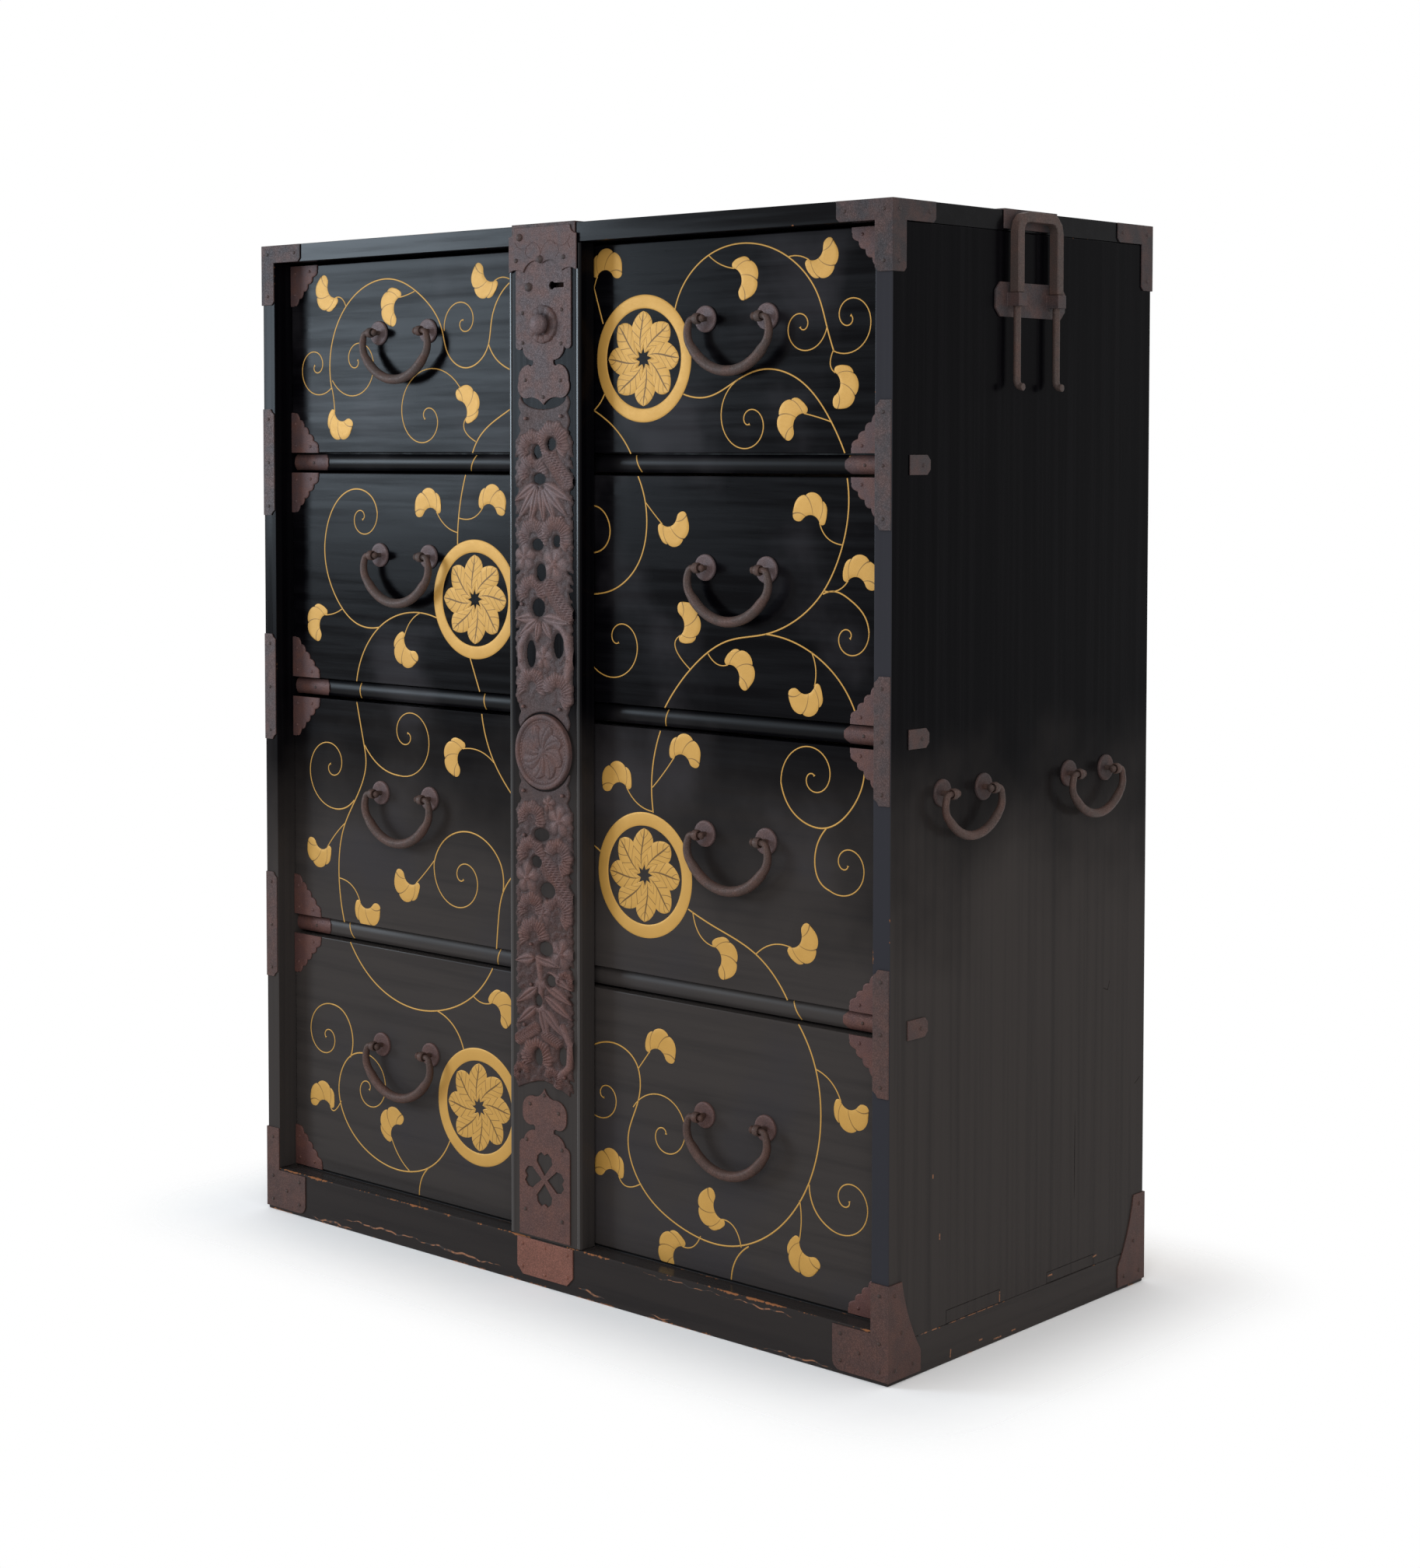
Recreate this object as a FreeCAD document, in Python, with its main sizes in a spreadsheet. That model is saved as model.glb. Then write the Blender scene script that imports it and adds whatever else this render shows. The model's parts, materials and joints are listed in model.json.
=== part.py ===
import FreeCAD, Part
import math
import os
from types import SimpleNamespace
from FreeCAD import Placement, Rotation, Vector

# A Japanese lacquered chest of four drawers, closed by one upright locking bar.
# Millimetres. +Z is up, the front faces -Y, and the origin is the middle of the underside.

SIZES = (
    # Case of boards on a plinth of rails
    ("case_width", 906),
    ("case_depth", 447),
    ("case_height", 1120),
    ("side_thick", 20),
    ("top_thick", 20),
    ("back_thick", 9),
    ("plinth_height", 50),
    ("plinth_thick", 26),
    ("base_thick", 12),
    # Drawer openings from the top down, as shares of the height between the rails; the fourth is the rest
    ("opening_1_share", 0.22),
    ("opening_2_share", 0.242),
    ("opening_3_share", 0.26),
    ("rail_height", 18),
    ("rail_depth", 40),
    ("rail_crown", 3),
    ("rail_setback", 5),
    ("runner_width", 24),
    # Drawers
    ("front_recess", 25),
    ("front_thick", 20),
    ("drawer_back_gap", 21),
    ("wall_thick", 11),
    ("drawer_floor_thick", 8),
    ("wall_drop", 9),
    ("side_gap", 0.8),
    ("slide_gap", 0.3),
    ("lower_gap", 2),
    ("upper_gap", 3),
    # Split-pin eyes and rosettes that carry the bails
    ("eye_reach", 14),
    ("eye_radius", 6),
    ("eye_width", 7),
    ("pin_radius", 3),
    ("pin_play", 0.08),
    ("leg_height", 4.5),
    ("leg_play", 0.1),
    ("clinch_reach", 12),
    ("clinch_thick", 2.5),
    ("rosette_radius", 13.5),
    ("rosette_thick", 2.5),
    ("rosette_slope", 3),
    # Bails of the drawers and of the sides
    ("bail_spacing", 80),
    ("bail_drop", 52.5),
    ("bail_side_radius", 22),
    ("bail_thick", 10.5),
    ("bail_arm_thick", 8.4),
    ("bail_rise", 26),
    ("side_bail_spacing", 68),
    ("side_bail_drop", 43),
    ("side_bail_side_radius", 16),
    ("side_bail_thick", 9),
    ("side_bail_arm_thick", 7.4),
    ("side_bail_share", 0.498),
    ("side_bail_offset", 108.5),
    ("bend_radius", 5.5),
    ("bend_lean", 75),
    ("bend_clearance", 2.2),
    ("arm_run", 4),
    ("body_run", 6),
    ("pin_stub", 6),
    # Carrying-pole bails that slide up beside the top
    ("pole_spacing", 68),
    ("pole_bar", 10),
    ("pole_bend", 14),
    ("pole_leg_radius", 4),
    ("pole_leg_drop", 86),
    ("pole_hook_radius", 6),
    ("pole_hook_tip", 2),
    ("pole_top_gap", 1),
    ("pole_standoff", 9),
    ("collar_drop", 80.5),
    ("collar_height", 13),
    ("collar_width", 14),
    ("collar_play", 0.3),
    ("pole_plate_thick", 2),
    ("pole_plate_length", 120),
    ("pole_plate_height", 34),
    ("pole_plate_clip", 8),
    ("rim_iron_length", 92),
    ("rim_iron_fold", 18),
    # Sheet irons of the case
    ("iron_thick", 1.5),
    ("corner_reach", 66),
    ("corner_width", 20),
    ("corner_drop", 68),
    ("corner_clip", 4),
    ("foot_reach", 66),
    ("foot_under", 2),
    ("foot_rise", 47),
    ("foot_side_reach", 50),
    ("foot_side_step", 25),
    ("foot_lift", 4),
    ("foot_round", 10),
    ("strap_length", 122),
    ("strap_width", 19),
    ("strap_notch", 6),
    ("tab_length", 32),
    ("tab_height", 19),
    ("tab_setback", 27),
    ("tab_clip", 5),
    ("rail_iron_length", 58),
    ("rail_iron_thick", 1.2),
    ("drawer_iron_leg", 46),
    ("drawer_iron_end", 6),
    ("drawer_iron_scallop", 3),
    # Locking bar and its irons, measured down from the bar's head or up from its foot
    ("bar_width", 102),
    ("bar_thick", 22),
    ("bar_moulding", 3),
    ("bar_foot_gap", 0.3),
    ("bar_head_gap", 0.5),
    ("head_iron_width", 98),
    ("head_iron_lap", 18),
    ("head_iron_drop", 29),
    ("head_iron_clip", 9),
    ("head_strike_width", 92),
    ("head_strike_fold", 20),
    ("lock_plate_width", 80),
    ("lock_plate_gap", 2),
    ("lock_shoulder_drop", 103),
    ("lock_neck_drop", 128),
    ("lock_neck_width", 30),
    ("lock_lobe_drop", 142),
    ("lock_lobe_width", 72),
    ("lock_tip_drop", 167),
    ("keyhole_offset", 13),
    ("keyhole_drop", 43.5),
    ("keyhole_radius", 4.5),
    ("keyhole_slot_end", 30),
    ("keyhole_slot_height", 5),
    ("carved_width", 82),
    ("carved_thick", 3),
    ("carved_scallop", 4),
    ("carved_top_drop", 158),
    ("carved_top_dip", 14),
    ("carved_foot_rise", 152),
    ("carved_foot_arch", 17),
    ("medallion_share", 0.495),
    ("medallion_radius", 40),
    ("medallion_thick", 5),
    ("medallion_field", 3),
    ("medallion_rim", 6),
    ("medallion_gap", 0.5),
    ("foot_iron_width", 74),
    ("foot_iron_gap", 3),
    ("foot_iron_shoulder", 105),
    ("foot_iron_neck", 122),
    ("foot_iron_neck_width", 28),
    ("foot_iron_ogee", 135),
    ("foot_iron_ogee_width", 64),
    ("foot_iron_tip", 163),
    ("petal_rise", 66),
    ("petal_reach", 29),
    ("petal_root", 4),
    ("foot_strike_width", 82),
    ("foot_strike_height", 40),
    ("foot_strike_gap", 1),
    ("foot_strike_clip", 9),
    # Lock inside the bar's head
    ("lock_case_width", 64),
    ("lock_case_height", 92),
    ("lock_case_depth", 12),
    ("lock_case_drop", 12),
    ("lock_play", 0.3),
    ("bolt_width", 20),
    ("bolt_thick", 7),
    ("bolt_length", 46),
    ("bolt_sink", 1),
    ("bolt_throw", 8),
    ("button_drop", 83.5),
    ("button_radius", 10.5),
    ("button_skirt", 3.5),
    ("button_dome", 6),
    ("button_stem_radius", 5),
    ("button_stem_reach", 2.5),
    ("button_travel", 4),
    ("button_collar_radius", 20),
    ("button_collar_thick", 3),
)
RAIL_COUNT = 3
SCALLOP_COUNT = 11
PETAL_COUNT = 12
BAR_SIDES = 8
ROSETTE_SIDES = 10
BUTTON_SIDES = 16


class Length:
    """A length from the sheet: its formula, for binding, and its value, for drawing."""

    def __init__(self, formula, value):
        self.formula = formula
        self.value = value

    def __float__(self):
        return self.value

    def joined(self, sign, other, value):
        right = other.formula if isinstance(other, Length) else repr(float(other))
        return Length("(%s %s %s)" % (self.formula, sign, right), value)

    def __neg__(self):
        return Length("(0 - %s)" % self.formula, -self.value)

    def __add__(self, other):
        return self.joined("+", other, self.value + float(other))

    def __sub__(self, other):
        return self.joined("-", other, self.value - float(other))

    def __mul__(self, other):
        return self.joined("*", other, self.value * float(other))

    def __truediv__(self, other):
        return self.joined("/", other, self.value / float(other))


doc = FreeCAD.newDocument("drawer_chest")
sheet = doc.addObject("Spreadsheet::Sheet", "Sizes")
for row, (alias, number) in enumerate(SIZES, start=1):
    sheet.set("A%d" % row, alias)
    sheet.set("B%d" % row, str(number))
    sheet.setAlias("B%d" % row, alias)
doc.recompute()
S = SimpleNamespace(**{alias: Length("Sizes." + alias, float(sheet.get(alias))) for alias, _ in SIZES})
nodes = []

# Planes that several pieces share
HALF_WIDTH = S.case_width / 2
INNER = HALF_WIDTH - S.side_thick
FRONT = -(S.case_depth / 2)
BACK = S.case_depth / 2
FACE = FRONT + S.front_recess
CEILING = S.case_height - S.top_thick
BASE_FOOT = S.plinth_height - S.base_thick
BAR_FOOT = S.plinth_height + S.bar_foot_gap
BAR_HEAD = CEILING - S.bar_head_gap
BAR_BACK = FRONT + S.bar_thick
IRON_FRONT = FRONT - S.iron_thick
MEDALLION_LEVEL = S.plinth_height + (CEILING - S.plinth_height) * S.medallion_share
SIDE_BAIL_LEVEL = S.case_height * S.side_bail_share
ZERO = S.case_width * 0


def node(piece, label):
    """Name a finished piece for its file."""
    piece.Label = label
    nodes.append(piece)
    return piece


def board(name, x, y, z):
    """A rectangular board between pairs of bound planes."""
    box = doc.addObject("Part::Box", name)
    for size_name, axis, (low, high) in (("Length", "x", x), ("Width", "y", y), ("Height", "z", z)):
        box.setExpression(size_name, (high - low).formula)
        box.setExpression("Placement.Base." + axis, low.formula)
    return box


def rod(name, radius, length, x, y, z, toward):
    """A round bar from a bound point, turned so that its axis runs toward a direction."""
    bar = doc.addObject("Part::Cylinder", name)
    bar.setExpression("Radius", radius.formula)
    bar.setExpression("Height", length.formula)
    bar.Placement.Rotation = Rotation(Vector(0, 0, 1), toward)
    for axis, place in (("x", x), ("y", y), ("z", z)):
        bar.setExpression("Placement.Base." + axis, place.formula)
    return bar


def cut(name, base, tools):
    """A piece with the tools' shapes taken out of it."""
    cutter = tools[0]
    if len(tools) > 1:
        cutter = doc.addObject("Part::MultiFuse", name + "_cutter")
        cutter.Shapes = tools
    piece = doc.addObject("Part::Cut", name)
    piece.Base = base
    piece.Tool = cutter
    return piece


def group(name, shapes):
    """Several separate solids of one kind under one name."""
    piece = doc.addObject("Part::Feature", name)
    piece.Shape = Part.makeCompound(shapes)
    return piece


def moved(shape, x, y, z, turn=0):
    """A copy of a shape, turned about Z and then carried to a place."""
    copy = shape.copy()
    copy.Placement = Placement(Vector(float(x), float(y), float(z)), Rotation(Vector(0, 0, 1), turn))
    return copy


def mirrored(shape, normal):
    """The shape's mirror image in a plane through the origin."""
    return shape.mirror(Vector(0, 0, 0), normal)


ACROSS = Vector(1, 0, 0)
ALONG = Vector(0, 1, 0)
UP = Vector(0, 0, 1)


def body_at(name, x=ZERO, y=ZERO, z=ZERO):
    """An empty body at a bound place."""
    body = doc.addObject("PartDesign::Body", name)
    for axis, place in (("x", x), ("y", y), ("z", z)):
        body.setExpression("Placement.Base." + axis, place.formula)
    return body


def draw(sketch, points):
    """Add a closed outline: each point is x, y and how far the edge that ends there bulges out.

    Outlines run anticlockwise, so a positive bulge is to the right of the way they are drawn.
    """
    flat = [(float(x), float(y), float(rise)) for x, y, rise in points]
    for (x0, y0, _), (x1, y1, rise) in zip(flat[-1:] + flat[:-1], flat):
        start = Vector(x0, y0, 0)
        end = Vector(x1, y1, 0)
        if rise:
            way = (end - start).normalize()
            middle = (start + end) * 0.5 + Vector(way.y, -way.x, 0) * rise
            sketch.addGeometry(Part.Arc(start, middle, end), False)
        else:
            sketch.addGeometry(Part.LineSegment(start, end), False)


def sketch_on(body, role, outlines, circles=()):
    """A sketch of closed outlines, and of circles given as x, y and radius, on an origin plane."""
    sketch = body.newObject("Sketcher::SketchObject", body.Name + "_sketch")
    plane = [feature for feature in body.Origin.OriginFeatures if feature.Role == role][0]
    sketch.AttachmentSupport = [(plane, "")]
    sketch.MapMode = "FlatFace"
    for points in outlines:
        draw(sketch, points)
    for x, y, radius in circles:
        sketch.addGeometry(Part.Circle(Vector(float(x), float(y), 0), Vector(0, 0, 1), float(radius)), False)
    return sketch


def pad(body, role, outlines, thick, circles=(), both_ways=False):
    """Pad outlines on an origin plane to a bound thickness."""
    feature = body.newObject("PartDesign::Pad", body.Name + "_pad")
    feature.Profile = sketch_on(body, role, outlines, circles)
    feature.setExpression("Length", thick.formula)
    feature.Midplane = both_ways
    body.Tip = feature
    return feature


def turned(body, role, points):
    """Revolve a half outline about the second axis of its sketch."""
    feature = body.newObject("PartDesign::Revolution", body.Name + "_turning")
    sketch = sketch_on(body, role, [points])
    feature.Profile = sketch
    feature.ReferenceAxis = (sketch, ["V_Axis"])
    feature.Angle = 360
    body.Tip = feature
    return feature


def both_sides(half):
    """A whole outline from its right half, listed from the bottom up.

    A point on the middle line is kept once; otherwise a straight edge joins the two halves.
    """
    left = [(-half[-1][0], half[-1][1], 0)]
    for here, there in zip(half[-2::-1], half[:0:-1]):
        left.append((-here[0], here[1], there[2]))
    if float(half[-1][0]) == 0:
        left = left[1:]
    whole = list(half) + left
    if float(half[0][0]) == 0:
        closing = whole.pop()
        whole[0] = (half[0][0], half[0][1], closing[2])
    return whole


def rectangle(x0, y0, x1, y1):
    """A plain rectangular outline."""
    return [(x0, y0, 0), (x1, y0, 0), (x1, y1, 0), (x0, y1, 0)]


def polygon(x, y, radius, sides):
    """A regular outline that clears a round bar of the given radius."""
    reach = float(radius) / math.cos(math.pi / sides)
    turns = [2 * math.pi * (i + 0.5) / sides for i in range(sides)]
    return [(float(x) + reach * math.cos(a), float(y) + reach * math.sin(a), 0) for a in turns]


def ring(centre, u, v, radius, sides):
    """The corners of a regular section in the plane of u and v."""
    turns = [2 * math.pi * (i + 0.5) / sides for i in range(sides)]
    return [centre + (u * math.cos(a) + v * math.sin(a)) * radius for a in turns]


def flat_skin(rings):
    """A solid of flat faces: one between each pair of neighbouring edges, and one on each end ring."""
    faces = []
    for near, far in zip(rings, rings[1:]):
        for i in range(len(near)):
            corners = [near[i - 1], near[i], far[i], far[i - 1]]
            faces.append(Part.Face(Part.makePolygon(corners + corners[:1])))
    for end in (rings[0], rings[-1]):
        faces.append(Part.Face(Part.makePolygon(end + end[:1])))
    solid = Part.Solid(Part.Shell(faces))
    if solid.Volume < 0:
        solid.reverse()
    return solid


def drawer_levels():
    """Floor and ceiling of each drawer opening, from the top down."""
    ceiling = CEILING
    levels = []
    clear_height = CEILING - S.plinth_height - S.rail_height * RAIL_COUNT
    for share in (S.opening_1_share, S.opening_2_share, S.opening_3_share):
        floor = ceiling - clear_height * share
        levels.append((floor, ceiling))
        ceiling = floor - S.rail_height
    levels.append((S.plinth_height, ceiling))
    return levels


LEVELS = drawer_levels()
HANDLE_X = (INNER + S.bar_width / 2) / 2


# Split-pin eyes, rosettes and bails, each made round its own pivot or seat


def eye_post(name, board_thick):
    """A strip folded round the bail's pin, its legs driven through a board and clinched behind it.

    The board's outer face is the XZ plane and the eye stands out on -Y.
    """
    body = body_at(name)
    half_leg = S.leg_height / 2
    neck = -S.eye_reach + math.sqrt(float(S.eye_radius) ** 2 - float(half_leg) ** 2)
    points = [(neck, half_leg, 0)]
    for turn in range(75, 300, 42):
        around = math.radians(turn)
        points.append((S.eye_radius * math.cos(around) - S.eye_reach, S.eye_radius * math.sin(around), 0))
    points += [
        (neck, -half_leg, 0),
        (board_thick, -half_leg, 0),
        (board_thick, -S.clinch_reach, 0),
        (board_thick + S.clinch_thick, -S.clinch_reach, 0),
        (board_thick + S.clinch_thick, S.clinch_reach, 0),
        (board_thick, S.clinch_reach, 0),
        (board_thick, half_leg, 0),
    ]
    pin_hole = polygon(-S.eye_reach, ZERO, S.pin_radius + S.pin_play, BAR_SIDES)
    pad(body, "YZ_Plane", [points, pin_hole], S.eye_width, (), True)
    doc.recompute()
    return body.Shape


def leg_slot(name, x, z, y_outer, board_thick):
    """The slot that an eye's legs pass through in a board that faces -Y."""
    half_width = S.eye_width / 2 + S.leg_play
    half_height = S.leg_height / 2 + S.leg_play
    return board(name, (x - half_width, x + half_width), (y_outer, y_outer + board_thick),
                 (z - half_height, z + half_height))


def rosette():
    """A washer with a sloped edge, slotted for the eye's legs; it lies on the XZ plane."""
    radius = float(S.rosette_radius)
    top = Vector(0, -float(S.rosette_thick), 0)
    washer = flat_skin([
        ring(Vector(0, 0, 0), ACROSS, UP, radius, ROSETTE_SIDES),
        ring(top, ACROSS, UP, radius - float(S.rosette_slope), ROSETTE_SIDES),
    ])
    width = float(S.eye_width + S.leg_play * 2)
    height = float(S.leg_height + S.leg_play * 2)
    slot = Part.makeBox(width, float(S.rosette_thick), height, top - Vector(width / 2, 0, height / 2))
    return washer.cut(slot)


def bail(spacing, drop, side_radius, thick, arm_thick):
    """A drop handle forged to an eight-sided bar, thick below and thin at its pins.

    The pins lie on X through the origin. From each pin the bar bends down, swells over a short
    straight, runs through a side arc, swells again and meets the other half in one wide bottom arc.
    Every arc is tangent to the straight beside it, and the section is constant along each arc.
    """
    lean = math.radians(float(S.bend_lean))
    bend = float(S.bend_radius)
    side = float(side_radius)
    pin = float(S.pin_radius)
    start_x = float(spacing / 2 + S.eye_width / 2 + S.bend_clearance)
    stub_x = float(spacing / 2 - S.eye_width / 2 - S.pin_stub)
    shoulder = Vector(start_x + bend * math.sin(lean), 0, bend * (math.cos(lean) - 1))
    arm_end = shoulder + Vector(math.cos(lean), 0, -math.sin(lean)) * float(S.arm_run)
    side_centre = arm_end - Vector(math.sin(lean), 0, math.cos(lean)) * side
    run = float(S.body_run)
    turn = 2 * math.atan2(side_centre.x + run, side_centre.z + float(drop) - side)
    bottom = (side_centre.x + side * math.sin(turn) + run * math.cos(turn)) / math.sin(turn)
    arcs = (
        (Vector(start_x, 0, -bend), bend, 0, lean, 2, pin),
        (side_centre, side, lean, turn, 2, float(arm_thick) / 2),
        (Vector(0, 0, bottom - float(drop)), bottom, turn, math.pi, 3, float(thick) / 2),
    )
    rings = [ring(Vector(stub_x, 0, 0), ALONG, UP, pin, BAR_SIDES)]
    for centre, radius, first, last, steps, half_thick in arcs:
        for i in range(steps + 1):
            around = first + (last - first) * i / steps
            outward = Vector(math.sin(around), 0, math.cos(around))
            rings.append(ring(centre + outward * radius, ALONG, outward, half_thick, BAR_SIDES))
    other_half = [[Vector(-point.x, point.y, point.z) for point in corners] for corners in rings[-2::-1]]
    return flat_skin(rings + other_half)


rosette_shape = rosette()
drawer_post_shape = eye_post("drawer_post", S.front_thick)
side_post_shape = eye_post("side_post", S.side_thick - S.clinch_thick)
drawer_bail_shape = bail(S.bail_spacing, S.bail_drop, S.bail_side_radius, S.bail_thick, S.bail_arm_thick)
side_bail_shape = bail(S.side_bail_spacing, S.side_bail_drop, S.side_bail_side_radius,
                       S.side_bail_thick, S.side_bail_arm_thick)


# Case boards


def side_post_spots():
    """The depth of each eye on a side board."""
    spots = []
    for centre in (-S.side_bail_offset, S.side_bail_offset):
        spots.append(centre - S.side_bail_spacing / 2)
        spots.append(centre + S.side_bail_spacing / 2)
    return spots


def side_board(name, low, high, recess):
    """A side board, notched over the front and back of the plinth and slotted for its handle eyes.

    recess is the stretch of x in which the eyes' clinched legs are let into the inner face.
    """
    plain = board(name + "_plain", (low, high), (FRONT, BACK), (BASE_FOOT, CEILING))
    half_width = S.eye_width / 2 + S.leg_play
    half_height = S.leg_height / 2 + S.leg_play
    clinch_half = S.clinch_reach + S.leg_play
    slots = [
        board(name + "_front_notch", (low, high), (FRONT, FRONT + S.plinth_thick),
              (BASE_FOOT, S.plinth_height)),
        board(name + "_back_notch", (low, high), (BACK - S.plinth_thick, BACK), (BASE_FOOT, S.plinth_height)),
    ]
    for i, y in enumerate(side_post_spots()):
        across = (y - half_width, y + half_width)
        slots.append(board("%s_slot_%d" % (name, i), (low, high), across,
                           (SIDE_BAIL_LEVEL - half_height, SIDE_BAIL_LEVEL + half_height)))
        slots.append(board("%s_recess_%d" % (name, i), recess, across,
                           (SIDE_BAIL_LEVEL - clinch_half, SIDE_BAIL_LEVEL + clinch_half)))
    return cut(name, plain, slots)


node(side_board("left_side_cut", -HALF_WIDTH, -INNER, (-INNER - S.clinch_thick, -INNER)), "left_side")
node(side_board("right_side_cut", INNER, HALF_WIDTH, (INNER, INNER + S.clinch_thick)), "right_side")

bolt_half_width = S.bolt_width / 2 + S.lock_play
bolt_half_thick = S.bolt_thick / 2 + S.lock_play
bolt_middle = BAR_BACK - S.lock_case_depth / 2
bolt_socket = board("bolt_socket", (-bolt_half_width, bolt_half_width),
                    (bolt_middle - bolt_half_thick, bolt_middle + bolt_half_thick),
                    (CEILING, CEILING + S.bolt_throw + S.lock_play))
top_plain = board("top_plain", (-HALF_WIDTH, HALF_WIDTH), (FRONT, BACK), (CEILING, S.case_height))
node(cut("top_cut", top_plain, [bolt_socket]), "top_board")

node(board("back", (-INNER, INNER), (BACK - S.back_thick, BACK), (S.plinth_height, CEILING)), "back_board")
node(board("plinth_f", (-HALF_WIDTH, HALF_WIDTH), (FRONT, FRONT + S.plinth_thick),
           (ZERO, S.plinth_height)), "plinth_front")
node(board("plinth_b", (-HALF_WIDTH, HALF_WIDTH), (BACK - S.plinth_thick, BACK),
           (ZERO, S.plinth_height)), "plinth_back")
plinth_run = (FRONT + S.plinth_thick, BACK - S.plinth_thick)
plinth_sides = doc.addObject("Part::Compound", "plinth_s")
plinth_sides.Links = [
    board("plinth_left", (-HALF_WIDTH, S.plinth_thick - HALF_WIDTH), plinth_run, (ZERO, BASE_FOOT)),
    board("plinth_right", (HALF_WIDTH - S.plinth_thick, HALF_WIDTH), plinth_run, (ZERO, BASE_FOOT)),
]
node(plinth_sides, "plinth_sides")
node(board("base", (-INNER, INNER), plinth_run, (BASE_FOOT, S.plinth_height)), "base_board")


# Rails between the drawers, with a crowned front, and runners behind them

RAIL_CREST = FACE + S.rail_setback
RAIL_BACK = RAIL_CREST + S.rail_depth


def drawer_rail(name, floor):
    """A rail under one drawer: a board whose front swells between its top and bottom edges."""
    body = body_at(name, ZERO, RAIL_CREST, floor)
    pad(body, "YZ_Plane", [[
        (S.rail_crown, -S.rail_height, S.rail_crown),
        (S.rail_depth, -S.rail_height, 0),
        (S.rail_depth, ZERO, 0),
        (S.rail_crown, ZERO, 0),
    ]], INNER * 2, (), True)
    return body


rails = doc.addObject("Part::Compound", "rails")
runners = doc.addObject("Part::Compound", "runners")
rail_list = []
runner_list = []
for i in range(RAIL_COUNT):
    floor = LEVELS[i][0]
    rail_list.append(drawer_rail("rail_%d" % (i + 1), floor))
    for side_name, x in (("left", (-INNER, S.runner_width - INNER)),
                         ("right", (INNER - S.runner_width, INNER))):
        runner_list.append(board("runner_%s_%d" % (side_name, i + 1), x, (RAIL_BACK, BACK - S.back_thick),
                                 (floor - S.rail_height, floor)))
rails.Links = rail_list
runners.Links = runner_list
node(rails, "drawer_rails")
node(runners, "drawer_runners")


# Sheet irons nailed to the case


def top_corner_iron():
    """An angle that wraps the front right top corner, with a short leg down each face."""
    body = body_at("top_corner", HALF_WIDTH, FRONT, S.case_height)
    reach, width, drop, clip = S.corner_reach, S.corner_width, S.corner_drop, S.corner_clip
    pad(body, "XZ_Plane", [[
        (S.iron_thick, -drop, 0),
        (S.iron_thick, ZERO, 0),
        (-reach, ZERO, 0),
        (-reach, clip - width, 0),
        (clip - reach, -width, 0),
        (-width, -width, 0),
        (-width, clip - drop, 0),
        (clip - width, -drop, 0),
    ]], S.iron_thick)
    pad(body, "YZ_Plane", [[
        (ZERO, -drop, 0),
        (width - clip, -drop, 0),
        (width, clip - drop, 0),
        (width, -width, 0),
        (reach - clip, -width, 0),
        (reach, clip - width, 0),
        (reach, ZERO, 0),
        (ZERO, ZERO, 0),
    ]], S.iron_thick)
    doc.recompute()
    return body.Shape


def foot_corner_iron():
    """A boot round the front right foot: a shoe on the front and a flared leaf on the side."""
    body = body_at("foot_corner", HALF_WIDTH, FRONT, ZERO)
    shoe_top = S.plinth_height - S.foot_under
    boot_top = S.plinth_height + S.foot_rise
    pad(body, "XZ_Plane", [[
        (S.iron_thick, S.foot_lift, 0),
        (S.iron_thick, boot_top, 0),
        (-S.corner_width, boot_top, 0),
        (-S.corner_width, shoe_top, 0),
        (-S.foot_reach, shoe_top, 0),
        (-S.foot_reach, S.foot_lift + S.foot_round, 0),
        (S.foot_round - S.foot_reach, S.foot_lift, S.foot_round * 0.29),
    ]], S.iron_thick)
    pad(body, "YZ_Plane", [[
        (ZERO, S.foot_lift, 0),
        (S.foot_side_reach, S.foot_lift, 0),
        (S.foot_side_reach, S.foot_side_step, 0),
        (S.corner_width, boot_top, -S.corner_clip),
        (ZERO, boot_top, 0),
    ]], S.iron_thick)
    doc.recompute()
    return body.Shape


def four_corners(shape):
    """A corner piece with its mirror images at the other three corners."""
    right = [shape, mirrored(shape, ALONG)]
    return right + [mirrored(piece, ACROSS) for piece in right]


def stile_strap():
    """A flat strap on the right stile's front, its inner corners cut by hollow notches."""
    body = body_at("strap", HALF_WIDTH, FRONT, ZERO)
    half = S.strap_length / 2
    notch = S.strap_notch
    inner = S.strap_width
    pad(body, "XZ_Plane", [[
        (ZERO, -half, 0),
        (ZERO, half, 0),
        (notch - inner, half, 0),
        (notch * 0.6 - inner, half - notch * 0.6, 0),
        (-inner, half - notch, 0),
        (-inner, notch - half, 0),
        (notch * 0.6 - inner, notch * 0.6 - half, 0),
        (notch - inner, -half, 0),
    ]], S.iron_thick)
    doc.recompute()
    return body.Shape


def tenon_tab():
    """A small tab with a clipped end on the right side, over the end of a rail."""
    body = body_at("tab", HALF_WIDTH, FRONT, ZERO)
    near = S.tab_setback
    far = S.tab_setback + S.tab_length
    half = S.tab_height / 2
    clip = S.tab_clip
    pad(body, "YZ_Plane", [[
        (near, -half, 0),
        (far - clip, -half, 0),
        (far, clip - half, 0),
        (far, half - clip, 0),
        (far - clip, half, 0),
        (near, half, 0),
    ]], S.iron_thick)
    doc.recompute()
    return body.Shape


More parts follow.
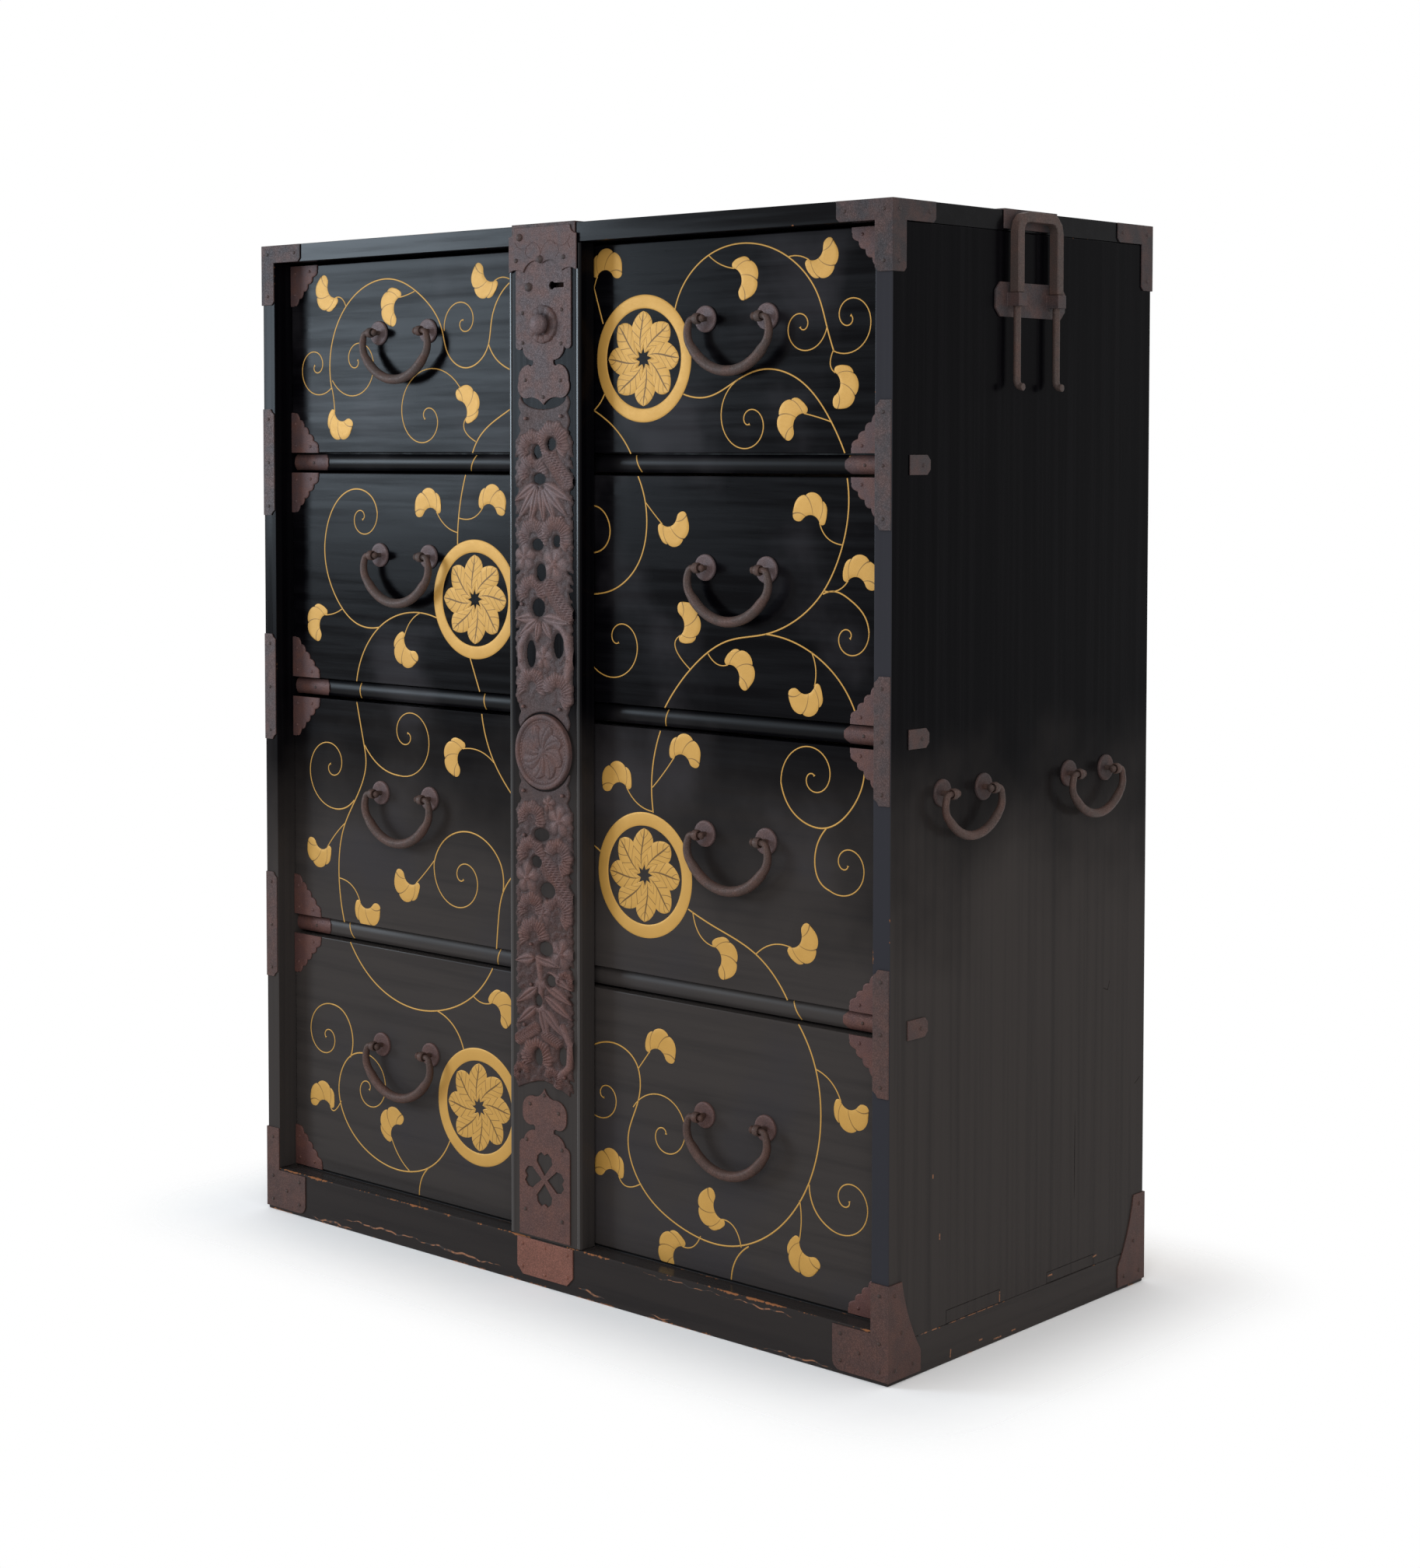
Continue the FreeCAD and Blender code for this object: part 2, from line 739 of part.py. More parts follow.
def rail_end_iron():
    """A cap on the right end of a rail's crowned front, with a clipped inner end."""
    strip = body_at("rail_iron_strip", INNER, RAIL_CREST, ZERO)
    crown = S.rail_crown
    outer_crown = crown + S.rail_iron_thick * 0.8
    edge = crown - S.rail_iron_thick * 0.2
    half = S.rail_height / 2
    pad(strip, "YZ_Plane", [[
        (crown, -half, 0),
        (crown, half, -crown),
        (edge, half, 0),
        (edge, -half, outer_crown),
    ]], S.rail_iron_length, (), False)
    strip.Tip.Reversed = True
    window = body_at("rail_iron_window", INNER, BACK, ZERO)
    end = S.rail_iron_length
    clip = half * 0.6
    pad(window, "XZ_Plane", [[
        (clip - end, -half, 0),
        (ZERO, -half, 0),
        (ZERO, half, 0),
        (clip - end, half, 0),
        (-end, half - clip, 0),
        (-end, clip - half, 0),
    ]], S.case_depth)
    doc.recompute()
    return strip.Shape.common(window.Shape)


def rail_middles():
    """The height of each rail's middle."""
    return [LEVELS[i][0] - S.rail_height / 2 for i in range(RAIL_COUNT)]


def pairs_at_rails(shape):
    """A right-hand piece and its left-hand mirror image at every rail."""
    pieces = []
    for z in rail_middles():
        right = moved(Part.makeCompound([shape]), 0, 0, z)
        pieces += [right.Solids[0], mirrored(right.Solids[0], ACROSS)]
    return pieces


node(group("top_corners", four_corners(top_corner_iron())), "top_corner_irons")
node(group("foot_corners", four_corners(foot_corner_iron())), "foot_corner_irons")
node(group("straps", pairs_at_rails(stile_strap())), "stile_straps")
node(group("tabs", pairs_at_rails(tenon_tab())), "tenon_irons")
node(group("rail_caps", pairs_at_rails(rail_end_iron())), "rail_end_irons")


def folded_iron(name, half_length, x, y, z, drop, fold):
    """A strip down a front face at the top edge, folded back over the top; it is made facing -Y."""
    body = body_at(name, x, y, z)
    pad(body, "YZ_Plane", [[
        (-S.iron_thick, -drop, 0),
        (ZERO, -drop, 0),
        (ZERO, ZERO, 0),
        (fold, ZERO, 0),
        (fold, S.iron_thick, 0),
        (-S.iron_thick, S.iron_thick, 0),
    ]], half_length * 2, (), True)
    doc.recompute()
    return body


node(folded_iron("head_strike_plate", S.head_strike_width / 2, ZERO, FRONT, S.case_height,
                 S.top_thick, S.head_strike_fold), "head_strike")
rim_shape = folded_iron("rim_strip", S.rim_iron_length / 2, ZERO, ZERO, ZERO,
                        S.rim_iron_fold, S.rim_iron_fold).Shape
right_rim = moved(Part.makeCompound([rim_shape]), HALF_WIDTH, 0, S.case_height, 90)
node(group("rims", right_rim.Solids + mirrored(right_rim, ACROSS).Solids), "pole_rim_irons")

strike_half = S.foot_strike_width / 2
strike_clip = S.foot_strike_clip
strike = body_at("strike", ZERO, FRONT, S.plinth_height - S.foot_strike_gap)
pad(strike, "XZ_Plane", [both_sides([
    (strike_half - strike_clip, -S.foot_strike_height, 0),
    (strike_half, strike_clip - S.foot_strike_height, 0),
    (strike_half, ZERO, 0),
])], S.iron_thick)
node(strike, "foot_strike")


# Handle eyes, rosettes and bails on the sides


def both_sides_of_case(shape, spots):
    """Pieces made facing -Y, turned to stand on the right side and mirrored to the left."""
    pieces = []
    for y in spots:
        right = moved(Part.makeCompound([shape]), HALF_WIDTH, y, SIDE_BAIL_LEVEL, 90)
        pieces += [right.Solids[0], mirrored(right.Solids[0], ACROSS)]
    return pieces


node(group("side_posts", both_sides_of_case(side_post_shape, side_post_spots())), "side_eyes")
node(group("side_discs", both_sides_of_case(rosette_shape, side_post_spots())), "side_rosettes")
for place, offset in (("front", -S.side_bail_offset), ("rear", S.side_bail_offset)):
    right = moved(Part.makeCompound([side_bail_shape]), HALF_WIDTH + S.eye_reach, offset, SIDE_BAIL_LEVEL, 90)
    node(group("bail_right_" + place, right.Solids), "right_%s_bail" % place)
    node(group("bail_left_" + place, mirrored(right, ACROSS).Solids), "left_%s_bail" % place)


# Carrying-pole bails, their collars and plates

COLLAR_MIDDLE = S.case_height - S.collar_drop - S.collar_height / 2
COLLAR_TOP = S.case_height - S.collar_drop


def pole_plate():
    """The right-hand plate with two square collars, forged in one; it is made facing -Y."""
    body = body_at("pole_plate")
    half = S.pole_plate_length / 2
    tall = S.pole_plate_height / 2
    clip = S.pole_plate_clip
    pad(body, "XZ_Plane", [both_sides([
        (half - clip, -tall, 0),
        (half, clip - tall, 0),
        (half, tall - clip, 0),
        (half - clip, tall, 0),
    ])], S.pole_plate_thick)
    inner = -S.pole_plate_thick
    outer = -S.pole_standoff - S.collar_width / 2
    holes = []
    collars = []
    for sign in (-1, 1):
        x = S.pole_spacing / 2 * sign
        collars.append(rectangle(x - S.collar_width / 2, outer, x + S.collar_width / 2, inner))
        holes.append(polygon(x, -S.pole_standoff, S.pole_leg_radius + S.collar_play, BAR_SIDES))
    pad(body, "XY_Plane", collars + holes, S.collar_height, (), True)
    doc.recompute()
    return body.Shape


def pole_bail():
    """An upright square hoop whose eight-sided legs slide in the collars and end in hooks.

    It is made facing -Y, in the middle plane of its legs, with z = 0 on top of the collars.
    """
    half = float(S.pole_spacing) / 2
    bend = float(S.pole_bend)
    square = float(S.pole_bar) / 2
    top = float(S.case_height - S.pole_top_gap - COLLAR_TOP) - square
    leg = float(S.pole_leg_radius)
    drop = float(S.pole_leg_drop)
    hook = float(S.pole_hook_radius)
    corner = square * math.sqrt(2)
    hoop = [ring(Vector(half, 0, 0), ALONG, ACROSS, corner, 4)]
    for i in range(4):
        around = math.pi / 2 * i / 3
        outward = Vector(math.cos(around), 0, math.sin(around))
        hoop.append(ring(Vector(half - bend, 0, top - bend) + outward * bend, ALONG, outward, corner, 4))
    hoop += [[Vector(-point.x, point.y, point.z) for point in corners] for corners in hoop[::-1]]
    shank = [ring(Vector(half, 0, 0), ACROSS, ALONG, leg, BAR_SIDES)]
    for i in range(4):
        around = math.pi / 2 * i / 3
        outward = Vector(0, math.cos(around), -math.sin(around))
        shank.append(ring(Vector(half, -hook, -drop) + outward * hook, ACROSS, outward, leg, BAR_SIDES))
    tip = Vector(half, -hook - float(S.pole_hook_tip), -drop - hook)
    shank.append(ring(tip, ACROSS, -UP, leg, BAR_SIDES))
    right_leg = flat_skin(shank)
    return flat_skin(hoop).fuse([right_leg, mirrored(right_leg, ACROSS)]).removeSplitter()


right_plate = moved(Part.makeCompound([pole_plate()]), HALF_WIDTH, 0, COLLAR_MIDDLE, 90)
node(group("pole_plate_pair", right_plate.Solids + mirrored(right_plate, ACROSS).Solids), "pole_plates")
right_pole = moved(Part.makeCompound([pole_bail()]), HALF_WIDTH + S.pole_standoff, 0, COLLAR_TOP, 90)
node(group("pole_right", right_pole.Solids), "right_pole_bail")
node(group("pole_left", mirrored(right_pole, ACROSS).Solids), "left_pole_bail")


# Locking bar and its lock

KEY_LEVEL = CEILING - S.keyhole_drop
BUTTON_LEVEL = CEILING - S.button_drop
LOCK_FRONT = BAR_BACK - S.lock_case_depth
LOCK_TOP = CEILING - S.lock_case_drop
LOCK_FOOT = LOCK_TOP - S.lock_case_height
STEM_HOLE = S.button_stem_radius + S.lock_play


def keyhole(name, y0, y1):
    """The keyhole's round and its slot, as two cutters between two depths."""
    half = S.keyhole_slot_height / 2
    return [
        rod(name + "_round", S.keyhole_radius, y1 - y0, S.keyhole_offset, y0, KEY_LEVEL, ALONG),
        board(name + "_slot", (S.keyhole_offset, S.keyhole_slot_end), (y0, y1),
              (KEY_LEVEL - half, KEY_LEVEL + half)),
    ]


def bar_board():
    """The bar: moulded front edges, a recess for the lock behind, and the lock's openings."""
    body = body_at("bar_plain", ZERO, FRONT, BAR_FOOT)
    half = S.bar_width / 2
    pad(body, "XY_Plane", [both_sides([
        (half - S.bar_moulding, ZERO, 0),
        (half, S.bar_moulding, 0),
        (half, S.bar_thick, 0),
    ])], BAR_HEAD - BAR_FOOT)
    case_half = S.lock_case_width / 2
    recess = board("lock_recess", (-case_half, case_half), (LOCK_FRONT, BAR_BACK), (LOCK_FOOT, LOCK_TOP))
    channel = board("bolt_channel", (-bolt_half_width, bolt_half_width),
                    (bolt_middle - bolt_half_thick, bolt_middle + bolt_half_thick), (LOCK_TOP, BAR_HEAD))
    stem = rod("stem_hole", STEM_HOLE, LOCK_FRONT - FRONT, ZERO, FRONT, BUTTON_LEVEL, ALONG)
    return cut("bar_cut", body, [recess, channel, stem] + keyhole("bar_key", FRONT, LOCK_FRONT))


def lock_case():
    """The iron lock box, hollowed for the bolt, the key and the button's stem."""
    case_half = S.lock_case_width / 2
    block = board("lock_block", (-case_half, case_half), (LOCK_FRONT, BAR_BACK), (LOCK_FOOT, LOCK_TOP))
    slot = board("bolt_slot", (-bolt_half_width, bolt_half_width),
                 (bolt_middle - bolt_half_thick, bolt_middle + bolt_half_thick),
                 (BOLT_FOOT - S.lock_play, LOCK_TOP))
    well_depth = S.button_stem_reach + S.button_travel + S.lock_play
    well = rod("stem_well", STEM_HOLE, well_depth, ZERO, LOCK_FRONT, BUTTON_LEVEL, ALONG)
    key_way = keyhole("case_key", LOCK_FRONT, bolt_middle - bolt_half_thick)
    return cut("lock_case_cut", block, [slot, well] + key_way)


BOLT_HEAD = BAR_HEAD - S.bolt_sink
BOLT_FOOT = BOLT_HEAD - S.bolt_length
node(bar_board(), "bar_board")
node(lock_case(), "lock_case")
node(board("bolt", (-(S.bolt_width / 2), S.bolt_width / 2),
           (bolt_middle - S.bolt_thick / 2, bolt_middle + S.bolt_thick / 2),
           (BOLT_FOOT, BOLT_HEAD)), "lock_bolt")

collar = body_at("collar", ZERO, IRON_FRONT, BUTTON_LEVEL)
petals = []
for i in range(PETAL_COUNT * 3):
    turn = 2 * math.pi * i / (PETAL_COUNT * 3)
    reach = S.button_collar_radius * (1 if i % 3 else 0.88)
    petals.append((reach * math.cos(turn), reach * math.sin(turn), 0))
button_hole = polygon(ZERO, ZERO, S.button_radius + S.lock_play, BUTTON_SIDES)
pad(collar, "XZ_Plane", [petals, button_hole], S.button_collar_thick)
node(collar, "button_collar")


def lock_button():
    """A domed push button with a stem behind it, made on the Y axis with the lock plate at y = 0."""
    skirt_back = -float(S.button_travel + S.lock_play)
    skirt_front = skirt_back - float(S.button_skirt)
    stem_end = float(LOCK_FRONT + S.button_stem_reach - IRON_FRONT)
    radius = float(S.button_radius)
    dome = float(S.button_dome)
    stem = float(S.button_stem_radius)
    stations = [(stem_end, stem), (skirt_back, stem), (skirt_back, radius), (skirt_front, radius)]
    for turn in (30, 60, 80):
        around = math.radians(turn)
        stations.append((skirt_front - dome * math.sin(around), radius * math.cos(around)))
    return flat_skin([ring(Vector(0, y, 0), ACROSS, UP, r, BUTTON_SIDES) for y, r in stations])


button = group("button", [moved(lock_button(), ZERO, IRON_FRONT, BUTTON_LEVEL)])
node(button, "lock_button")


# Irons on the face of the bar


def head_iron():
    """The plate at the bar's head, which laps over the top board; hollows and cusps shape its foot edge."""
    body = body_at("head_plate", ZERO, IRON_FRONT, CEILING)
    half = S.head_iron_width / 2
    clip = S.head_iron_clip
    pad(body, "XZ_Plane", [both_sides([
        (ZERO, clip - S.head_iron_drop, 0),
        (half * 0.57, -S.head_iron_drop, -(clip * 0.75)),
        (half, -S.head_iron_drop, -(clip * 0.35)),
        (half, S.head_iron_lap - clip, 0),
        (half - clip, S.head_iron_lap, -(clip * 0.3)),
    ])], S.iron_thick)
    return body


def lock_plate():
    """The lock's face plate: straight sides, a hooked neck and a fan-shaped end with a cusp."""
    body = body_at("lock_face", ZERO, FRONT, CEILING)
    half = S.lock_plate_width / 2
    neck = S.lock_neck_width / 2
    lobe = S.lock_lobe_width / 2
    step = S.lock_neck_drop - S.lock_shoulder_drop
    outline = both_sides([
        (ZERO, -S.lock_tip_drop, 0),
        (lobe * 0.6, step * 0.3 - S.lock_tip_drop, -(step * 0.12)),
        (lobe, -S.lock_lobe_drop, step * 0.3),
        (neck + step * 0.25, step * 0.12 - S.lock_neck_drop, step * 0.2),
        (neck, step * 0.3 - S.lock_neck_drop, -(step * 0.15)),
        (half - step * 0.4, step * 0.3 - S.lock_shoulder_drop - step * 0.4, step * 0.18),
        (half, -S.lock_shoulder_drop, step * 0.2),
        (half, -S.lock_plate_gap, 0),
    ])
    slot_half = S.keyhole_slot_height / 2
    key = -S.keyhole_drop
    keyhole_outline = [
        (S.keyhole_slot_end, key - slot_half, 0),
        (S.keyhole_slot_end, key + slot_half, 0),
    ]
    for turn in range(36, 360, 48):
        around = math.radians(turn)
        keyhole_outline.append((S.keyhole_offset + S.keyhole_radius * math.cos(around),
                                key + S.keyhole_radius * math.sin(around), 0))
    stem_hole = polygon(ZERO, -S.button_drop, STEM_HOLE, BUTTON_SIDES)
    pad(body, "XZ_Plane", [outline, keyhole_outline, stem_hole], S.iron_thick)
    return body


# Piercings of the carved irons: across the half width, up the length, and half of each size, as shares
UPPER_PIERCINGS = (
    (0.27, 0.86, 0.15, 0.018), (-0.22, 0.835, 0.15, 0.02), (-0.15, 0.755, 0.22, 0.016),
    (0.46, 0.57, 0.13, 0.017), (-0.22, 0.56, 0.2, 0.017), (-0.1, 0.48, 0.17, 0.026),
    (-0.2, 0.375, 0.22, 0.027), (0.5, 0.265, 0.17, 0.037), (-0.46, 0.235, 0.16, 0.039),
)
LOWER_PIERCINGS = (
    (-0.1, 0.8, 0.27, 0.019), (-0.27, 0.715, 0.18, 0.017), (0.12, 0.63, 0.27, 0.023),
    (0.05, 0.455, 0.23, 0.021), (0.24, 0.36, 0.16, 0.017), (-0.2, 0.295, 0.13, 0.017),
    (-0.2, 0.125, 0.15, 0.026), (0.65, 0.14, 0.13, 0.027),
)


def piercing(x, z, half_x, half_z):
    """An oval hole, cut with eight straight sides."""
    turns = [math.pi / 8 + math.pi / 4 * i for i in range(8)]
    return [(x + half_x * math.cos(turn), z + half_z * math.sin(turn), 0) for turn in turns]


def carved_iron(name, foot, head, foot_edge, head_edge, piercings):
    """A pierced facing iron with lobed sides; its ends follow the plates next to it.

    foot_edge and head_edge are how far the middle of each end edge stands out.
    """
    body = body_at(name, ZERO, FRONT, ZERO)
    wide = S.carved_width / 2
    narrow = wide - S.carved_scallop
    length = head - foot
    step = length / SCALLOP_COUNT
    right = []
    for i in range(SCALLOP_COUNT):
        right.append((narrow, foot + step * i, 0))
        right.append((wide, foot + step * (i + 0.3), 0))
        right.append((wide, foot + step * (i + 0.7), 0))
    right.append((narrow, head, 0))
    outline = right + [(-x, z, rise) for x, z, rise in right[::-1]]
    outline[0] = (narrow, foot, foot_edge)
    outline[len(right)] = (-narrow, head, head_edge)
    holes = [piercing(wide * x, foot + length * z, wide * half_x, length * half_z)
             for x, z, half_x, half_z in piercings]
    pad(body, "XZ_Plane", [outline] + holes, S.carved_thick)
    return body


def medallion():
    """A round boss with a raised rim and a sunk field."""
    body = body_at("boss", ZERO, FRONT, MEDALLION_LEVEL)
    inner = S.medallion_radius - S.medallion_rim
    turned(body, "XY_Plane", [
        (ZERO, -S.medallion_field, 0),
        (inner, -S.medallion_field, 0),
        (inner, -S.medallion_thick, 0),
        (S.medallion_radius, -S.medallion_thick, 0),
        (S.medallion_radius, ZERO, 0),
        (ZERO, ZERO, 0),
    ])
    return body


def petal_hole(level, turn):
    """One of four piercings round a cross: a petal with a notched outer edge."""
    reach = float(S.petal_reach)
    root = float(S.petal_root)
    half = [(root, 0), (reach * 0.62, -reach * 0.4), (reach * 0.85, -reach * 0.36), (reach, -reach * 0.16)]
    flat = half + [(reach * 0.9, 0)] + [(x, -z) for x, z in half[:0:-1]]
    cos, sin = math.cos(turn), math.sin(turn)
    return [(x * cos - z * sin, float(level) + x * sin + z * cos, 0) for x, z in flat]


def foot_iron():
    """The plate at the bar's foot: straight sides, a hooked neck, a cusped head, four piercings."""
    body = body_at("foot_face", ZERO, FRONT, S.plinth_height)
    half = S.foot_iron_width / 2
    neck = S.foot_iron_neck_width / 2
    ogee = S.foot_iron_ogee_width / 2
    step = S.foot_iron_neck - S.foot_iron_shoulder
    outline = both_sides([
        (half, S.foot_iron_gap, 0),
        (half, S.foot_iron_shoulder - step * 0.4, 0),
        (half - step * 0.4, S.foot_iron_shoulder, step * 0.12),
        (neck, S.foot_iron_neck - step * 0.3, step * 0.2),
        (neck + step * 0.25, S.foot_iron_neck, -(step * 0.15)),
        (ogee, S.foot_iron_ogee, step * 0.3),
        (ogee * 0.45, S.foot_iron_tip - step * 0.6, step * 0.4),
        (ZERO, S.foot_iron_tip, -(step * 0.15)),
    ])
    petals = [petal_hole(S.petal_rise, math.pi / 2 * i) for i in range(4)]
    pad(body, "XZ_Plane", [outline] + petals, S.iron_thick)
    return body


carved_half = float(S.carved_width / 2 - S.carved_scallop)
ring_reach = float(S.medallion_radius + S.medallion_gap)
ring_height = math.sqrt(ring_reach ** 2 - carved_half ** 2)
hollow = ring_height - ring_reach
node(head_iron(), "head_iron")
node(lock_plate(), "lock_plate")
node(carved_iron("carved_upper", MEDALLION_LEVEL + ring_height, CEILING - S.carved_top_drop,
                 hollow, -S.carved_top_dip, UPPER_PIERCINGS), "upper_carved_iron")
node(medallion(), "bar_medallion")
node(carved_iron("carved_lower", S.plinth_height + S.carved_foot_rise, MEDALLION_LEVEL - ring_height,
                 -S.carved_foot_arch, hollow, LOWER_PIERCINGS), "lower_carved_iron")
node(foot_iron(), "foot_iron")


# Drawers


def corner_iron():
    """A three-cornered plate for a drawer front's lower left corner, its long edge scalloped."""
    body = body_at("drawer_corner")
    leg = S.drawer_iron_leg
    end = S.drawer_iron_end
    run = (leg - end) / 3
    swell = S.drawer_iron_scallop / math.sqrt(2)
    points = [(ZERO, ZERO, 0), (leg, ZERO, 0), (leg, end, 0)]
    for i in range(3):
        for share in (0.3, 0.7):
            points.append((leg - run * (i + share) + swell, end + run * (i + share) + swell, 0))
        points.append((leg - run * (i + 1), end + run * (i + 1), 0))
    points.append((ZERO, leg, 0))
    pad(body, "XZ_Plane", [points], S.iron_thick)
    doc.recompute()
    return body.Shape


corner_shape = corner_iron()
HANDLE_SPOTS = []
for sign in (-1, 1):
    for shift in (-0.5, 0.5):
        HANDLE_SPOTS.append(HANDLE_X * sign + S.bail_spacing * shift)


def drawer_front(name, floor, ceiling, handle_z):
    """A drawer front, slotted for the legs of its four eyes."""
    edge = INNER - S.side_gap
    plain = board(name + "_plain", (-edge, edge), (FACE, FACE + S.front_thick),
                  (floor + S.lower_gap, ceiling - S.upper_gap))
    slots = []
    for i, x in enumerate(HANDLE_SPOTS):
        slots.append(leg_slot("%s_slot_%d" % (name, i), x, handle_z, FACE, S.front_thick))
    return cut(name, plain, slots)


def drawer_box(name, floor, ceiling):
    """The two walls, back and bottom behind a drawer front, as four boards."""
    edge = INNER - S.side_gap
    inner = edge - S.wall_thick
    near = FACE + S.front_thick
    far = BACK - S.back_thick - S.drawer_back_gap
    foot = floor + S.slide_gap
    height = (foot, ceiling - S.wall_drop)
    box = doc.addObject("Part::Compound", name)
    box.Links = [
        board(name + "_left", (-edge, -inner), (near, far), height),
        board(name + "_right", (inner, edge), (near, far), height),
        board(name + "_back", (-inner, inner), (far - S.wall_thick, far), height),
        board(name + "_floor", (-inner, inner), (near, far - S.wall_thick),
              (foot, foot + S.drawer_floor_thick)),
    ]
    return box


def drawer_irons(floor, ceiling, handle_z):
    """The corner plates, rosettes and eyes of one drawer front."""
    edge = INNER - S.side_gap
    pieces = []
    for z, flip in ((floor + S.lower_gap, False), (ceiling - S.upper_gap, True)):
        shape = mirrored(corner_shape, UP) if flip else corner_shape
        left = moved(Part.makeCompound([shape]), -edge, FACE, z)
        pieces += left.Solids + mirrored(left, ACROSS).Solids
    for shape in (rosette_shape, drawer_post_shape):
        for x in HANDLE_SPOTS:
            pieces += moved(Part.makeCompound([shape]), x, FACE, handle_z).Solids
    return pieces


for number, (floor, ceiling) in enumerate(LEVELS, start=1):
    name = "drawer_%d" % number
    handle_z = (floor + ceiling) / 2 + S.bail_rise
    node(drawer_front(name + "_front_cut", floor, ceiling, handle_z), name + "_front")
    node(drawer_box(name + "_boards", floor, ceiling), name + "_box")
    node(group(name + "_metal", drawer_irons(floor, ceiling, handle_z)), name + "_irons")
    for side_name, sign in (("left", -1), ("right", 1)):
        hung = moved(Part.makeCompound([drawer_bail_shape]), HANDLE_X * sign, FACE - S.eye_reach, handle_z)
        node(group("%s_hung_%s" % (name, side_name), hung.Solids), "%s_%s_bail" % (name, side_name))


doc.recompute()
for item in doc.Objects:
    if "Invalid" in item.State or "Error" in item.State:
        raise RuntimeError("failed to build: " + item.Label)
for piece in nodes:
    if piece.Shape.isNull() or not piece.Shape.isValid() or not piece.Shape.Solids:
        raise RuntimeError("bad shape: " + piece.Label)
os.makedirs("parts", exist_ok=True)
for piece in nodes:
    piece.Shape.exportStep("parts/%s.step" % piece.Label)
print("%d nodes, %d solids" % (len(nodes), sum(len(piece.Shape.Solids) for piece in nodes)))
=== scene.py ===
# %% [markdown]
# # A lacquered chest of four drawers behind a locking bar
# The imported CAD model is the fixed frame: every board, iron and joint is already in its place, in
# metres. This lesson dresses it. The boards keep their CAD shape and get a lacquer. The forged and
# painted pieces are worked out again as smooth surfaces, and ride on the same bodies.

# %% Load the frame
import json
import math

import bmesh
import bpy
import numpy as np
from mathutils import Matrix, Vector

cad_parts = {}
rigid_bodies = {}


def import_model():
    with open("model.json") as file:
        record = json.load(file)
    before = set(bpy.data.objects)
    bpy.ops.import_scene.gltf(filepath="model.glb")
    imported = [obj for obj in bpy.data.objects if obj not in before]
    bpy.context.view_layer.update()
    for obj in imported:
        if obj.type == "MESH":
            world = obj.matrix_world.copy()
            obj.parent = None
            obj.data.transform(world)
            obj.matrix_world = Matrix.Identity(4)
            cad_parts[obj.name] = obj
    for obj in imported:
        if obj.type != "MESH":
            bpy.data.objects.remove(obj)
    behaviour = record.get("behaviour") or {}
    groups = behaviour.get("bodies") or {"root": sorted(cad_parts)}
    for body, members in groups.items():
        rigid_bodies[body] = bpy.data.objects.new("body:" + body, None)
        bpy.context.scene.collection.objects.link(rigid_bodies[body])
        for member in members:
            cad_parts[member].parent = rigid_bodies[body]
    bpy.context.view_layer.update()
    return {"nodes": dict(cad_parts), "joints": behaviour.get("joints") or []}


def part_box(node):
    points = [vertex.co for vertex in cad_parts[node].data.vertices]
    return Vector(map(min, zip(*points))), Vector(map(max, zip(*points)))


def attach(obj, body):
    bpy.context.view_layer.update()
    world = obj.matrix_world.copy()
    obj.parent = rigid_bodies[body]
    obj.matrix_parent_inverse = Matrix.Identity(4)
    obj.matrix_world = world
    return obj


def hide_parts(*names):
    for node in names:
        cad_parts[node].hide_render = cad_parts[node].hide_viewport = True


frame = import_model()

MM = 0.001
nodes = frame["nodes"]

# %% [markdown]
# ## Places read from the frame
# A piece that lies on a board has to touch it. Instead of typing the depth of each face again, the
# boxes of the CAD nodes give it, in millimetres, so the scene follows when the part changes.


# %% Faces and levels
def low_corner(node):
    """Lowest x, y and z of a CAD node, in millimetres."""
    return np.array(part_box(node)[0]) / MM


def high_corner(node):
    """Highest x, y and z of a CAD node, in millimetres."""
    return np.array(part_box(node)[1]) / MM


def middle_level(node):
    """Height of the middle of a CAD node, in millimetres."""
    return (low_corner(node)[2] + high_corner(node)[2]) / 2


DRAWERS = (1, 2, 3, 4)
SIDES = ("left", "right")
QUARTER = math.pi / 2
DRAWER_FACE = low_corner("drawer_1_front")[1]
BAR_FACE = low_corner("bar_board")[1]
PLATE_FACE = low_corner("lock_plate")[1]
STRAP_FACE = low_corner("stile_straps")[1]
PLINTH_FACE = low_corner("plinth_front")[1]
SIDE_FACE = high_corner("right_side")[0]
SIDE_IRON = high_corner("tenon_irons")[0]
CASE_FRONT = low_corner("right_side")[1]
CASE_HEIGHT = high_corner("top_board")[2]
MEDALLION_Z = middle_level("bar_medallion")
BUTTON_Z = middle_level("lock_button")
print("drawer face", DRAWER_FACE, "bar face", BAR_FACE, "side face", SIDE_FACE)

# %% [markdown]
# ## Grids that become meshes
# Each new piece is one or more grids of points: a function of two parameters, worked out as a whole
# numpy array. A patch numbers the corners of its quads, and a piece joins patches into one mesh, welds
# seams and poles, and rides on a CAD body. Looping over vertices in Python would be far slower.


# %% Patches
def as_points(x, y, z):
    """Three coordinate arrays, spread to one shape, as a grid of points."""
    return np.stack(np.broadcast_arrays(x, y, z), axis=-1)


